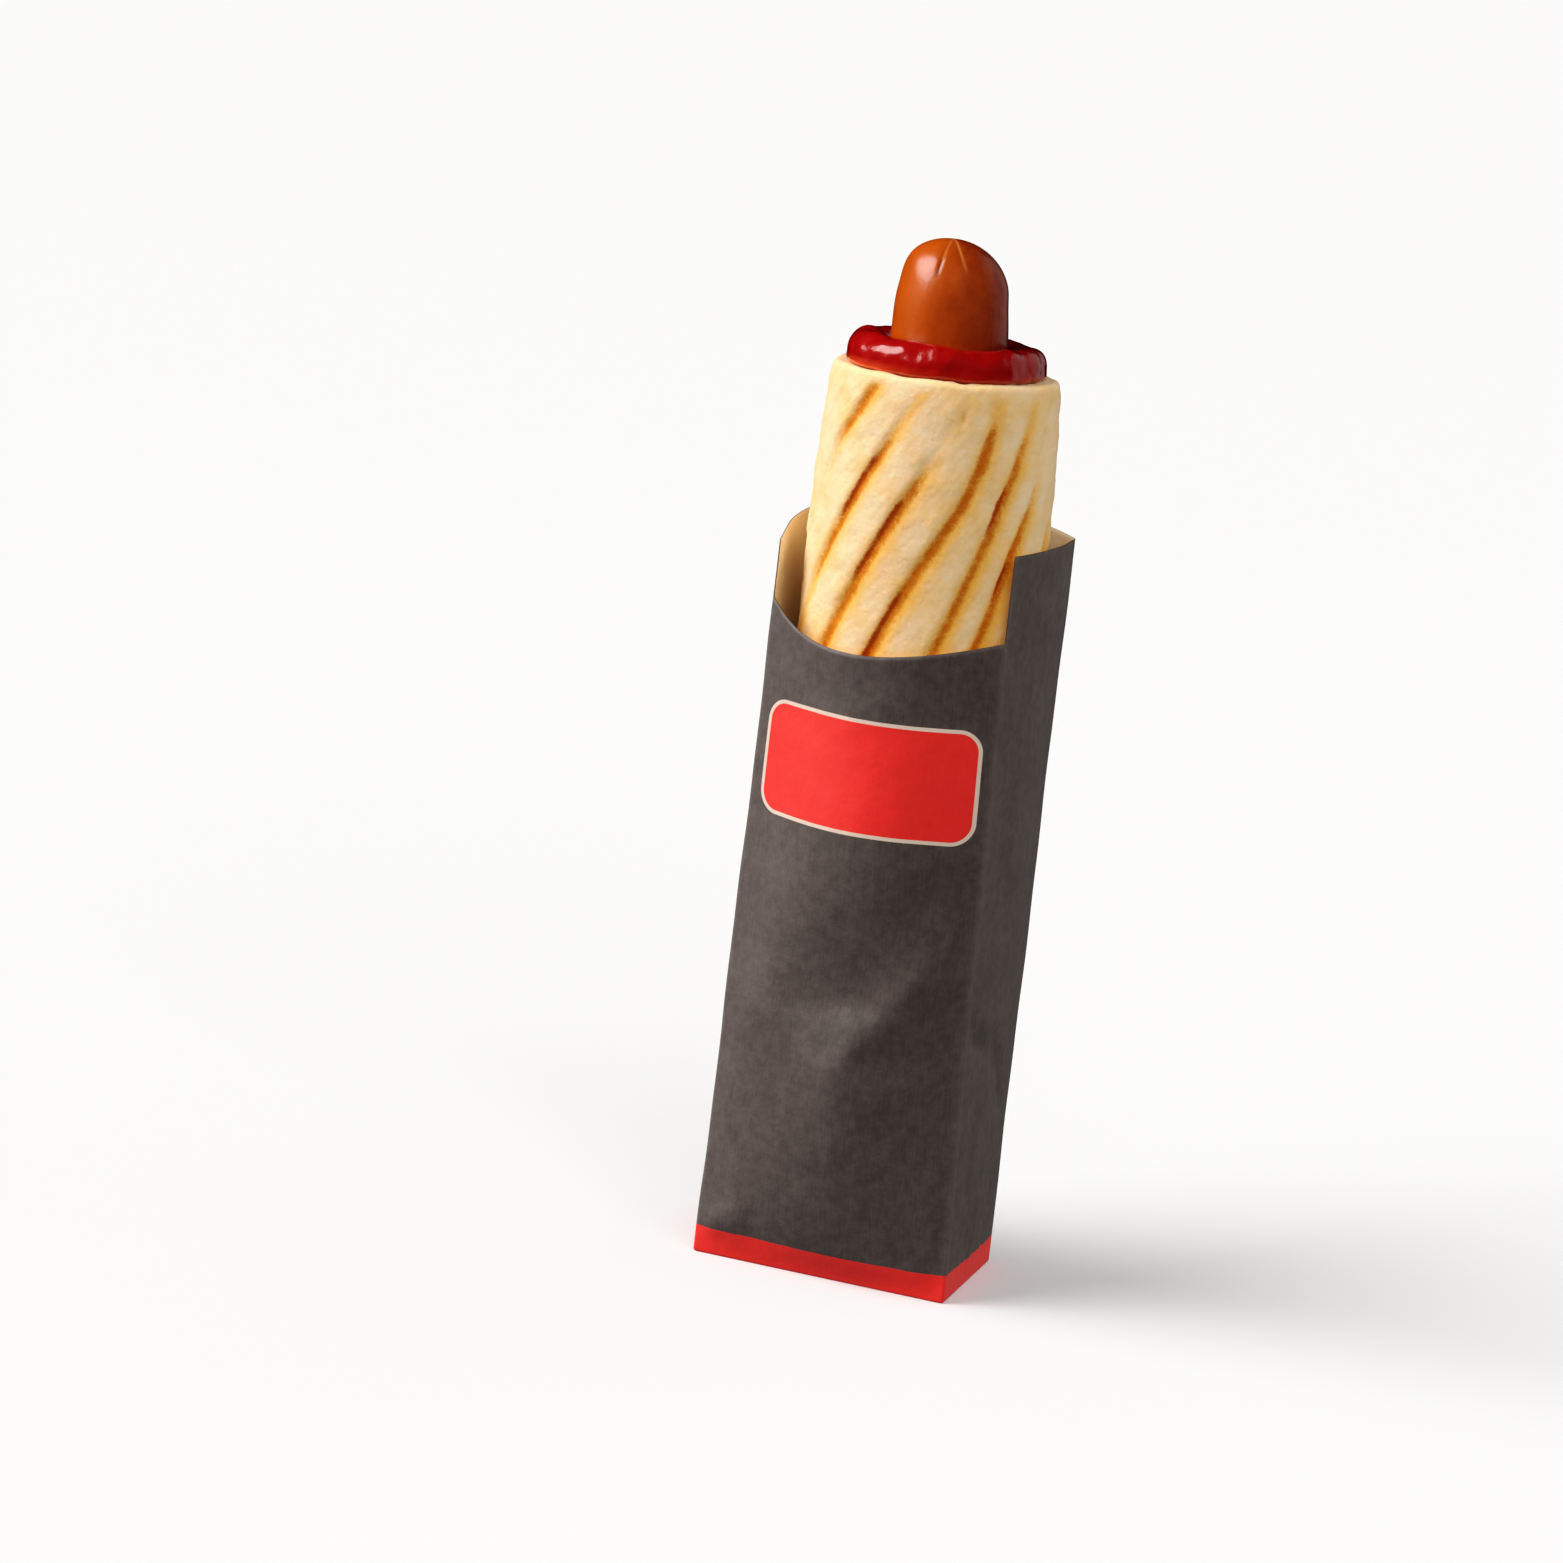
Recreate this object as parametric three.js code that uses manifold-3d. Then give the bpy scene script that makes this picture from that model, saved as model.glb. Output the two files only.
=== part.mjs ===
// A hot dog of the French kind: a grilled roll, hollow down its middle, in a block-bottom paper sleeve.
// A ring of ketchup lies on the roll's top, and the domed tip of the sausage stands out of it.
// Millimetres and degrees, +Z up, front of the sleeve towards -Y, origin at the middle of its flat bottom.

import * as THREE from "three";
import { mergeVertices } from "three/addons/utils/BufferGeometryUtils.js";
import Module from "manifold-3d";

const wasm = await Module();
wasm.setup();

// ---- Driving dimensions: the sleeve ----

const FRONT_WIDTH = 61; // the front panel, and the back panel
const SIDE_WIDTH = 36.5; // each side panel
const WALL = 0.5;
const MOUTH_HEIGHT = 155; // where the roll has pushed the panels out as far as the swells below say
const BACK_EDGE_HEIGHT = 172; // top edge at the two back creases
const BACK_EDGE_CROWN = 2.6; // the back panel's top edge is this much higher in the middle
const SIDE_EDGE_HEIGHT = { right: 171.8, left: 167 }; // top edge at the two front creases
const LEFT_EDGE_ROUNDING = 2.6; // how far the left corner's rounding reaches below its straight edge
const SWELL = { front: 11.6, back: 5.8, right: 1.8, left: 1.4 };
const SWELL_POWER = 0.35;
const BASE_STIFFNESS = 8; // height over which the folded base holds the panels straight
const RIGHT_SHARE = 0.67; // share of the front panel's narrowing that its right crease takes
const FRONT_SETBACK = 1.9; // how far the front creases move back between the base and the mouth

const SCOOP_LOWEST = { x: -4, z: 146.6 };
const SCOOP_LEFT = { x: -28.2, z: 154.3, power: 3 };
const SCOOP_RIGHT = { x: 26.2, z: 152.3, power: 1.6 };
const SCOOP_STEPS = 26;
const CUTTER_MARGIN = 20; // how far the scoop's cutter reaches beyond the sleeve

const FRONT_COLUMNS = 14;
const SIDE_COLUMNS = 8;
const BACK_COLUMNS = 12;
const SLEEVE_ROWS = 14;
const SLEEVE_ROW_POWER = 1.4; // above 1, the rows are closer together at the base

// ---- Driving dimensions: the roll ----

const ROLL_CENTRE = { x: 1.2, y: -0.7 };
const ROLL_BOTTOM = 1.2;
const ROLL_TOP = 208.6;
const ROLL_HALF_WIDTH = 27.2;
const ROLL_HALF_DEPTH = 25.2;
const ROLL_TAPER_START = 150;
const ROLL_TOP_NARROWING = 1.4; // half-width lost between the taper's start and the shoulder
const ROLL_SHOULDER = 2; // radius of the rounding at the top edge
const ROLL_END_LENGTH = 30; // height of the rounded lower end
const ROLL_END_POWER = 2.4;
const LOWER_SQUEEZE = { depth: 4.4, width: 2, height: 150 }; // what the sleeve's flat base takes off the roll
const BORE_CLEARANCE = 0.4;
const BORE_BOTTOM = 37;

const GROOVE_COUNT = 15;
const GROOVE_OFFSETS = [0.5, -0.3, 0.5, -5.8]; // from even spacing, for groove 0 and those to its right
const GROOVE_OFFSETS_LEFT = [-1.5, -5]; // the same for the grooves to the left of groove 0
const GROOVE_HEIGHT = 180; // where the grooves have their stated angles
const GROOVE_TWIST = 0.97; // degrees for each millimetre of height
const TWIST_VARIATION = { amount: 0.3, angle: 15 };
const TWIST_STEADY_BELOW = 145;
const GROOVE_DEPTH = 1.1;
const GROOVE_FADE = 9; // height below the shoulder over which the grooves run out
const GROOVE_STEPS = [0, 0.17, 0.5, 0.83]; // columns from one groove to the next, as shares of the spacing
const GROOVE_RELIEF = [1, 0.3, 0, 0.3]; // share of the groove's depth at those columns
const ROLL_ROWS = 20;
const END_ROWS = 5;

// ---- Driving dimensions: the sausage ----

const SAUSAGE_CENTRE = { x: 1, y: -1 };
const SAUSAGE_RADIUS = 13.1;
const SAUSAGE_BOTTOM = 38;
const SAUSAGE_TOP = 237.4;
const DOME_LENGTH = 18;
const DOME_POWER = 2.5;
const TIP_LEAN = { x: -1.6, start: 226 }; // the tied tip is off centre by this much
const TIP_CREASES = [-38, 12]; // angles of the two gather creases, from the front towards the right
const CREASE_DEPTH = 0.5;
const CREASE_LENGTH = 9;
const SAUSAGE_COLUMNS = 36;
const DOME_ROWS = 7;
const SAUSAGE_BODY_ROWS = 4;

// ---- Driving dimensions: the ketchup ----

const RING_INNER = 13.5;
const RING_OUTER = { left: 23, right: 22.2 }; // the ring is fatter on its left
const RING_BOTTOM_HALF = 3.4; // below the ring's widest level
const RING_TOP_HALF = 3.4; // above it
const RING_WAVE = { outward: 0.25, upward: 0.3, count: 5 };
const RING_FLATNESS = 0.6; // below 1, the ring's underside is flatter than round
const RING_LIFT = 0.3; // gap between the ring and the roll
const RING_STEPS = 54;
const RING_SIDES = 14;

const DEGREE = Math.PI / 180;

// ---- Helpers ----

/** Rises smoothly from 0 to 1 as value goes from start to end. */
function smooth(value, start, end) {
  return THREE.MathUtils.smoothstep(value, start, end);
}

/** Joins shared vertices and drops the triangles that a pole has collapsed. */
function welded(geometry) {
  geometry.deleteAttribute("normal");
  geometry.deleteAttribute("uv");
  const joined = mergeVertices(geometry, 1e-4);
  const corners = joined.index.array;
  const kept = [];
  for (let i = 0; i < corners.length; i += 3) {
    const [a, b, c] = corners.slice(i, i + 3);
    if (a !== b && b !== c && c !== a) {
      kept.push(a, b, c);
    }
  }
  joined.setIndex(kept);
  return joined;
}

/** Turns a profile into a closed body, then puts each of its vertices where place(station, column) says. */
function turned(stations, columns, place) {
  const profile = stations.map((station) => new THREE.Vector2(station.r, station.z));
  const geometry = new THREE.LatheGeometry(profile, columns);
  const position = geometry.attributes.position;
  for (let column = 0; column <= columns; column += 1) {
    stations.forEach((station, row) => {
      const [x, y, z] = place(station, column % columns);
      position.setXYZ(column * stations.length + row, x, y, z);
    });
  }
  return welded(geometry);
}

/** Makes a manifold solid of a geometry. */
function solidOf(geometry) {
  const vertProperties = new Float32Array(geometry.attributes.position.array);
  const triVerts = new Uint32Array(geometry.index.array);
  return new wasm.Manifold(new wasm.Mesh({ numProp: 3, vertProperties, triVerts }));
}

/** Makes a geometry of a manifold solid. */
function geometryOf(solid) {
  const mesh = solid.getMesh();
  const geometry = new THREE.BufferGeometry();
  geometry.setAttribute("position", new THREE.BufferAttribute(mesh.vertProperties, 3));
  geometry.setIndex(new THREE.BufferAttribute(mesh.triVerts, 1));
  return geometry;
}

/** Makes a named mesh with its own material. */
function piece(name, geometry, color, roughness) {
  geometry.computeVertexNormals();
  const material = new THREE.MeshStandardMaterial({ color, roughness, metalness: 0 });
  const mesh = new THREE.Mesh(geometry, material);
  mesh.name = name;
  return mesh;
}

// ---- The sleeve ----

/** Share of the full swell that the panels have at a height: none at the base, all of it at the mouth. */
function swellShare(z) {
  return (z / MOUTH_HEIGHT) ** SWELL_POWER * (1 - Math.exp(-z / BASE_STIFFNESS));
}

/** How much narrower than its own width a panel stands when it bulges out by swell. */
function narrowing(swell) {
  const slope = (Math.PI / 2) * swell;
  return (FRONT_WIDTH - Math.sqrt(FRONT_WIDTH ** 2 - 4 * slope ** 2)) / 2;
}

/** The four creases at a height, anticlockwise from the front right one. The panels keep their widths. */
function creasesAt(z) {
  const share = swellShare(z);
  const front = narrowing(SWELL.front * share);
  const back = narrowing(SWELL.back * share);
  const half = FRONT_WIDTH / 2;
  const right = half - RIGHT_SHARE * front;
  const left = half - (1 - RIGHT_SHARE) * front;
  const rear = half - back / 2;
  const y = -SIDE_WIDTH / 2 + (FRONT_SETBACK * z) / MOUTH_HEIGHT;
  return {
    frontRight: new THREE.Vector2(right, y),
    backRight: new THREE.Vector2(rear, y + Math.sqrt(SIDE_WIDTH ** 2 - (rear - right) ** 2)),
    backLeft: new THREE.Vector2(-rear, y + Math.sqrt(SIDE_WIDTH ** 2 - (rear - left) ** 2)),
    frontLeft: new THREE.Vector2(-left, y),
  };
}

/** A point at share t of the way along a panel that bulges out of the line between two creases. */
function onPanel(from, to, swell, t) {
  const along = to.clone().sub(from);
  const outward = new THREE.Vector2(along.y, -along.x).normalize();
  return from.clone().addScaledVector(along, t).addScaledVector(outward, swell * Math.sin(Math.PI * t));
}

/** The panels in order round the sleeve, with their creases, swells, columns and top edges. */
const PANELS = [
  { from: "frontRight", to: "backRight", swell: "right", columns: SIDE_COLUMNS, edge: rightEdge },
  { from: "backRight", to: "backLeft", swell: "back", columns: BACK_COLUMNS, edge: backEdge },
  { from: "backLeft", to: "frontLeft", swell: "left", columns: SIDE_COLUMNS, edge: leftEdge },
  { from: "frontLeft", to: "frontRight", swell: "front", columns: FRONT_COLUMNS, edge: uncutFrontEdge },
];
const SLEEVE_COLUMNS = PANELS.reduce((sum, panel) => sum + panel.columns, 0);

/** Height of the right panel's top edge, from its front crease to its back one. */
function rightEdge(t) {
  return THREE.MathUtils.lerp(SIDE_EDGE_HEIGHT.right, BACK_EDGE_HEIGHT, t);
}

/** Height of the back panel's top edge, which is crowned. */
function backEdge(t) {
  return BACK_EDGE_HEIGHT + BACK_EDGE_CROWN * (1 - Math.abs(2 * t - 1) ** 3.5);
}

/** Height of the left panel's top edge, from its back crease to the rounded corner at its front one. */
function leftEdge(t) {
  const straight = THREE.MathUtils.lerp(BACK_EDGE_HEIGHT, SIDE_EDGE_HEIGHT.left + LEFT_EDGE_ROUNDING, t);
  return straight - LEFT_EDGE_ROUNDING * t ** 6;
}

/** Height of the front panel before its scoop is cut. */
function uncutFrontEdge(t) {
  return THREE.MathUtils.lerp(SIDE_EDGE_HEIGHT.left, SIDE_EDGE_HEIGHT.right, t);
}

/** The panel that a column belongs to, and the column's share of the way along it. */
function panelOf(column) {
  let first = 0;
  for (const panel of PANELS) {
    if (column < first + panel.columns) {
      return { panel, t: (column - first) / panel.columns };
    }
    first += panel.columns;
  }
  throw new Error(`no sleeve column ${column}`);
}

/** The outside of the sleeve at a column and a height, in plan. */
function sleeveOutline(column, z) {
  const { panel, t } = panelOf((column + SLEEVE_COLUMNS) % SLEEVE_COLUMNS);
  const creases = creasesAt(z);
  return onPanel(creases[panel.from], creases[panel.to], SWELL[panel.swell] * swellShare(z), t);
}

/** The inside of the sleeve: the outline moved in by the wall, square to both neighbouring stretches. */
function sleeveLining(column, z) {
  const here = sleeveOutline(column, z);
  const before = here.clone().sub(sleeveOutline(column - 1, z)).normalize();
  const after = sleeveOutline(column + 1, z).sub(here).normalize();
  const along = before.clone().add(after).normalize();
  const inward = new THREE.Vector2(-along.y, along.x);
  return here.addScaledVector(inward, WALL / along.dot(after));
}

/** The sleeve as one closed body, up its outside, over its top edge and down its inside. */
function uncutSleeve() {
  const half = SIDE_WIDTH / 2;
  const outside = [];
  for (let row = 0; row <= SLEEVE_ROWS; row += 1) {
    const rise = (row / SLEEVE_ROWS) ** SLEEVE_ROW_POWER;
    outside.push({ r: half, z: rise, rise, outline: sleeveOutline });
  }
  const inside = outside.map((station) => ({ ...station, r: half - WALL, outline: sleeveLining })).reverse();
  inside[inside.length - 1].floor = true;
  const poles = { bottom: { r: 0, z: 0, pole: 0 }, floor: { r: 0, z: 0, pole: WALL } };
  const stations = [poles.bottom, ...outside, ...inside, poles.floor];
  return turned(stations, SLEEVE_COLUMNS, (station, column) => {
    if (station.pole !== undefined) {
      return [0, 0, station.pole];
    }
    const { panel, t } = panelOf(column);
    const z = station.floor ? WALL : panel.edge(t) * station.rise;
    const { x, y } = station.outline(column, z);
    return [x, y, z];
  });
}

/** Height of the scooped edge of the front panel at x. */
function scoopHeight(x) {
  const side = x < SCOOP_LOWEST.x ? SCOOP_LEFT : SCOOP_RIGHT;
  const share = Math.abs((x - SCOOP_LOWEST.x) / (side.x - SCOOP_LOWEST.x));
  return THREE.MathUtils.lerp(SCOOP_LOWEST.z, side.z, share ** side.power);
}

/** What the scoop takes away: everything in front of the front creases and above the scooped edge. */
function scoopCutter() {
  const points = [];
  for (let step = 0; step <= SCOOP_STEPS; step += 1) {
    const x = THREE.MathUtils.lerp(SCOOP_LEFT.x, SCOOP_RIGHT.x, step / SCOOP_STEPS);
    points.push(new THREE.Vector2(x, scoopHeight(x)));
  }
  const right = SCOOP_RIGHT.x + CUTTER_MARGIN;
  const left = SCOOP_LEFT.x - CUTTER_MARGIN;
  const top = BACK_EDGE_HEIGHT + CUTTER_MARGIN;
  points.push(new THREE.Vector2(right, SCOOP_RIGHT.z), new THREE.Vector2(right, top));
  points.push(new THREE.Vector2(left, top), new THREE.Vector2(left, SCOOP_LEFT.z));
  const options = { depth: CUTTER_MARGIN, bevelEnabled: false };
  const cutter = new THREE.ExtrudeGeometry(new THREE.Shape(points), options);
  cutter.rotateX(Math.PI / 2);
  cutter.translate(0, creasesAt(MOUTH_HEIGHT).frontRight.y - WALL / 10, 0);
  return welded(cutter);
}

/** The sleeve with the scoop cut out of its front panel. */
function sleeve() {
  const cut = solidOf(uncutSleeve()).subtract(solidOf(scoopCutter()));
  return piece("sleeve", geometryOf(cut), 0x4a4240, 0.9);
}

// ---- The roll ----

/** Angle of a groove at the height where the grooves have their stated angles. */
function grooveStart(groove) {
  const even = (360 / GROOVE_COUNT) * groove;
  const fromLeft = GROOVE_COUNT - groove;
  return even + (GROOVE_OFFSETS[groove] ?? GROOVE_OFFSETS_LEFT[fromLeft - 1] ?? 0);
}

/** Angle of a groove at a height, from the front towards the right. */
function grooveAngle(groove, z) {
  const start = grooveStart(groove);
  const variation = Math.sin((start - TWIST_VARIATION.angle) * DEGREE);
  const twist = GROOVE_TWIST - TWIST_VARIATION.amount * variation;
  const upper = Math.max(z, TWIST_STEADY_BELOW) - GROOVE_HEIGHT;
  const lower = Math.min(z, TWIST_STEADY_BELOW) - TWIST_STEADY_BELOW;
  return start + twist * upper + GROOVE_TWIST * lower;
}

/** Angle of one of the roll's columns, which follow the grooves up the roll. */
function rollColumnAngle(column, z) {
  const groove = Math.floor(column / GROOVE_STEPS.length);
  const share = GROOVE_STEPS[column % GROOVE_STEPS.length];
  const next = (groove + 1) % GROOVE_COUNT;
  const wrap = next === 0 ? 360 : 0;
  return THREE.MathUtils.lerp(grooveAngle(groove, z), grooveAngle(next, z) + wrap, share) * DEGREE;
}

/** Half-width and half-depth of the roll's side at a height, without its grooves. */
function rollHalves(z) {
  const shoulderStart = ROLL_TOP - ROLL_SHOULDER;
  const taper = Math.max(0, (z - ROLL_TAPER_START) / (shoulderStart - ROLL_TAPER_START)) ** 3;
  const squeeze = Math.max(0, 1 - z / LOWER_SQUEEZE.height);
  const above = Math.min(1, (z - ROLL_BOTTOM) / ROLL_END_LENGTH);
  const end = (1 - (1 - above) ** ROLL_END_POWER) ** (1 / ROLL_END_POWER);
  const width = ROLL_HALF_WIDTH - ROLL_TOP_NARROWING * taper - LOWER_SQUEEZE.width * squeeze;
  const depth = ROLL_HALF_DEPTH - 0.5 * ROLL_TOP_NARROWING * taper - LOWER_SQUEEZE.depth * squeeze;
  return { width: width * end, depth: depth * end };
}

/** Stations of the roll's profile: its skin from the bottom to the shoulder, its top face and its bore. */
function rollStations() {
  const stations = [{ r: 0, z: ROLL_BOTTOM }];
  for (let row = 1; row <= END_ROWS; row += 1) {
    const z = ROLL_BOTTOM + ROLL_END_LENGTH * (row / END_ROWS) ** 2;
    stations.push({ r: ROLL_HALF_WIDTH, z, skin: true });
  }
  const bodyStart = ROLL_BOTTOM + ROLL_END_LENGTH;
  const shoulderStart = ROLL_TOP - ROLL_SHOULDER;
  const bodyRows = ROLL_ROWS - END_ROWS;
  for (let row = 1; row <= bodyRows; row += 1) {
    const z = THREE.MathUtils.lerp(bodyStart, shoulderStart, row / bodyRows);
    stations.push({ r: ROLL_HALF_WIDTH, z, skin: true });
  }
  for (const angle of [45, 90]) {
    const inset = ROLL_SHOULDER * (1 - Math.cos(angle * DEGREE));
    const z = shoulderStart + ROLL_SHOULDER * Math.sin(angle * DEGREE);
    stations.push({ r: ROLL_HALF_WIDTH, z, skin: true, inset });
  }
  const bore = SAUSAGE_RADIUS + BORE_CLEARANCE;
  stations.push({ r: bore, z: ROLL_TOP }, { r: bore, z: (ROLL_TOP + BORE_BOTTOM) / 2 });
  stations.push({ r: bore, z: BORE_BOTTOM }, { r: 0, z: BORE_BOTTOM });
  return stations;
}

/** Place of a vertex of the roll: on its grooved skin, or on the round bore. */
function rollPoint(station, column) {
  if (!station.skin) {
    const angle = rollColumnAngle(column, ROLL_TOP);
    const x = SAUSAGE_CENTRE.x + station.r * Math.sin(angle);
    return [x, SAUSAGE_CENTRE.y - station.r * Math.cos(angle), station.z];
  }
  const angle = rollColumnAngle(column, station.z);
  const shoulderStart = ROLL_TOP - ROLL_SHOULDER;
  const halves = rollHalves(Math.min(station.z, shoulderStart));
  const fade = smooth(shoulderStart - station.z, 0, GROOVE_FADE);
  const strength = fade * smooth(station.z, ROLL_BOTTOM, ROLL_END_LENGTH);
  const relief = GROOVE_DEPTH * strength * GROOVE_RELIEF[column % GROOVE_STEPS.length];
  const inset = relief + (station.inset ?? 0);
  const x = ROLL_CENTRE.x + (halves.width - inset) * Math.sin(angle);
  const y = ROLL_CENTRE.y - (halves.depth - inset) * Math.cos(angle);
  return [x, y, station.z];
}

/** The grilled roll with its blind bore. */
function roll() {
  const columns = GROOVE_COUNT * GROOVE_STEPS.length;
  return piece("roll", turned(rollStations(), columns, rollPoint), 0xe9c88e, 0.85);
}

// ---- The sausage ----

/** Share of the sausage's radius at a distance from the end of a dome. */
function domeShare(distance) {
  const left = Math.max(0, 1 - distance / DOME_LENGTH);
  return (1 - left ** DOME_POWER) ** (1 / DOME_POWER);
}

/** Heights of the sausage's rows, close together at both domes. */
function sausageHeights() {
  const heights = [];
  for (let row = 0; row < DOME_ROWS; row += 1) {
    heights.push(SAUSAGE_BOTTOM + DOME_LENGTH * (row / DOME_ROWS) ** 2);
  }
  const straight = SAUSAGE_TOP - SAUSAGE_BOTTOM - 2 * DOME_LENGTH;
  for (let row = 0; row < SAUSAGE_BODY_ROWS; row += 1) {
    heights.push(SAUSAGE_BOTTOM + DOME_LENGTH + (straight * row) / SAUSAGE_BODY_ROWS);
  }
  for (let row = DOME_ROWS; row >= 0; row -= 1) {
    heights.push(SAUSAGE_TOP - DOME_LENGTH * (row / DOME_ROWS) ** 2);
  }
  return heights;
}

/** Depth of the gather creases at an angle in degrees and a distance below the tip. */
function creaseDepth(angle, below) {
  const columnWidth = 360 / SAUSAGE_COLUMNS;
  const fade = Math.max(0, 1 - below / CREASE_LENGTH) * Math.min(1, below);
  return TIP_CREASES.reduce((depth, crease) => {
    const away = Math.abs(THREE.MathUtils.euclideanModulo(angle - crease + 180, 360) - 180);
    return depth + CREASE_DEPTH * fade * Math.max(0, 1 - away / columnWidth);
  }, 0);
}

/** The sausage: a long round body with a dome at each end, and a tied tip that leans to the left. */
function sausage() {
  const stations = sausageHeights().map((z) => {
    const share = domeShare(Math.min(z - SAUSAGE_BOTTOM, SAUSAGE_TOP - z));
    return { r: SAUSAGE_RADIUS * share, z };
  });
  const body = turned(stations, SAUSAGE_COLUMNS, (station, column) => {
    const degrees = (360 / SAUSAGE_COLUMNS) * column;
    const lean = TIP_LEAN.x * smooth(station.z, TIP_LEAN.start, SAUSAGE_TOP);
    const r = Math.max(0, station.r - creaseDepth(degrees, SAUSAGE_TOP - station.z));
    const x = SAUSAGE_CENTRE.x + lean + r * Math.sin(degrees * DEGREE);
    return [x, SAUSAGE_CENTRE.y - r * Math.cos(degrees * DEGREE), station.z];
  });
  return piece("sausage", body, 0xb0481a, 0.35);
}

// ---- The ketchup ----

/** The ring of ketchup: a thick, slightly wavy bead with a flat underside, fatter on its left. */
function ketchup() {
  const nominal = (RING_INNER + RING_OUTER.right) / 2;
  const bead = new THREE.TorusGeometry(nominal, 1, RING_SIDES, RING_STEPS);
  const position = bead.attributes.position;
  const widest = ROLL_TOP + RING_LIFT + RING_BOTTOM_HALF;
  for (let i = 0; i < position.count; i += 1) {
    const angle = Math.atan2(position.getY(i), position.getX(i));
    const outward = Math.hypot(position.getX(i), position.getY(i)) - nominal;
    const upward = position.getZ(i);
    const wave = Math.sin(RING_WAVE.count * angle);
    const outer = THREE.MathUtils.lerp(RING_OUTER.left, RING_OUTER.right, (1 + Math.cos(angle)) / 2);
    const halfWidth = (outer - RING_INNER) / 2;
    const flat = Math.sign(upward) * Math.abs(upward) ** RING_FLATNESS;
    const z = upward > 0 ? upward * (RING_TOP_HALF + RING_WAVE.upward * wave) : flat * RING_BOTTOM_HALF;
    const swell = Math.max(0, outward) * RING_WAVE.outward * wave;
    const r = RING_INNER + halfWidth * (1 + outward) + swell;
    const x = SAUSAGE_CENTRE.x + r * Math.cos(angle);
    position.setXYZ(i, x, SAUSAGE_CENTRE.y + r * Math.sin(angle), widest + z);
  }
  return piece("ketchup", welded(bead), 0xa0080c, 0.15);
}

const hotDog = new THREE.Group();
hotDog.add(sleeve(), roll(), sausage(), ketchup());

export default hotDog;
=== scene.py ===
"""A grilled hot dog in its block-bottom paper sleeve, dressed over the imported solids.

Shape functions work in millimetres in the frame of the solids: +Z up, the scooped front panel towards -Y,
the origin in the middle of the sleeve's flat bottom. Angles round the roll and the sausage are degrees
from the front (-Y) towards the right (+X). A mesh gets its points in metres when it is assembled.
"""

import logging
import math
from dataclasses import dataclass, field
from enum import Enum

import bmesh
import bpy
import numpy as np
from mathutils import Matrix, Vector


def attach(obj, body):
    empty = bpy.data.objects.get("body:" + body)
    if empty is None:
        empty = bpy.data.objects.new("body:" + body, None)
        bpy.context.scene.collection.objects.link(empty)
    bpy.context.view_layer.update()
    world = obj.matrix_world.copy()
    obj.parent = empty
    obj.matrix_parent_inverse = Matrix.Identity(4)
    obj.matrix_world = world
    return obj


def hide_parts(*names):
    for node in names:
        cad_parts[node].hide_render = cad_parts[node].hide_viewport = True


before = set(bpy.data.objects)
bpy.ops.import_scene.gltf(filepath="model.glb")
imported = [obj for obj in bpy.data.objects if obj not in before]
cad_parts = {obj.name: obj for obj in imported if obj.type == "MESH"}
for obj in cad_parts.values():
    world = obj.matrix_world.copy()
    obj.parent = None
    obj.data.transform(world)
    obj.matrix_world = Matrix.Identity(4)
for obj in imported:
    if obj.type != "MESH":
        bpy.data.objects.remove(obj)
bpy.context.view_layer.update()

log = logging.getLogger("hot_dog")

Colour = tuple[float, float, float]
Pair = tuple[float, float]
Triple = tuple[float, float, float]
Four = tuple[float, float, float, float]
Array = np.ndarray
Socket = bpy.types.NodeSocket

MM = 0.001
WELD = 2e-6  # metres, within which two borders of one piece are the same
BODY = "root"
SHEET = "sheet"  # the map that lays a piece's material flat, in metres
WHITE = (1.0, 1.0, 1.0, 1.0)


class Panel(Enum):
    """The sleeve's panels, anticlockwise from the right one as seen from above."""

    RIGHT = 0
    BACK = 1
    LEFT = 2
    FRONT = 3


class Slot(Enum):
    """The record's material slots."""

    PAPER = "paper"
    BREAD = "bread"
    SAUSAGE = "sausage"
    KETCHUP = "ketchup"


# ---- Shape helpers ----


def smoothstep(value: Array, start: float, end: float) -> Array:
    """Rises from 0 at start to 1 at end with level ends: 3s^2 - 2s^3 of the share s of the way."""
    share = np.clip((np.asarray(value, float) - start) / (end - start), 0.0, 1.0)
    return share * share * (3.0 - 2.0 * share)


def bell(value: Array, centre: float, half: float) -> Array:
    """A bell of height 1 at centre: exp of minus the squared distance in units of half."""
    return np.exp(-(((np.asarray(value, float) - centre) / half) ** 2))


def turned_away(angle: Array, other: float) -> Array:
    """Signed difference of two angles in degrees, from -180 to 180."""
    return (np.asarray(angle, float) - other + 180.0) % 360.0 - 180.0


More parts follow.
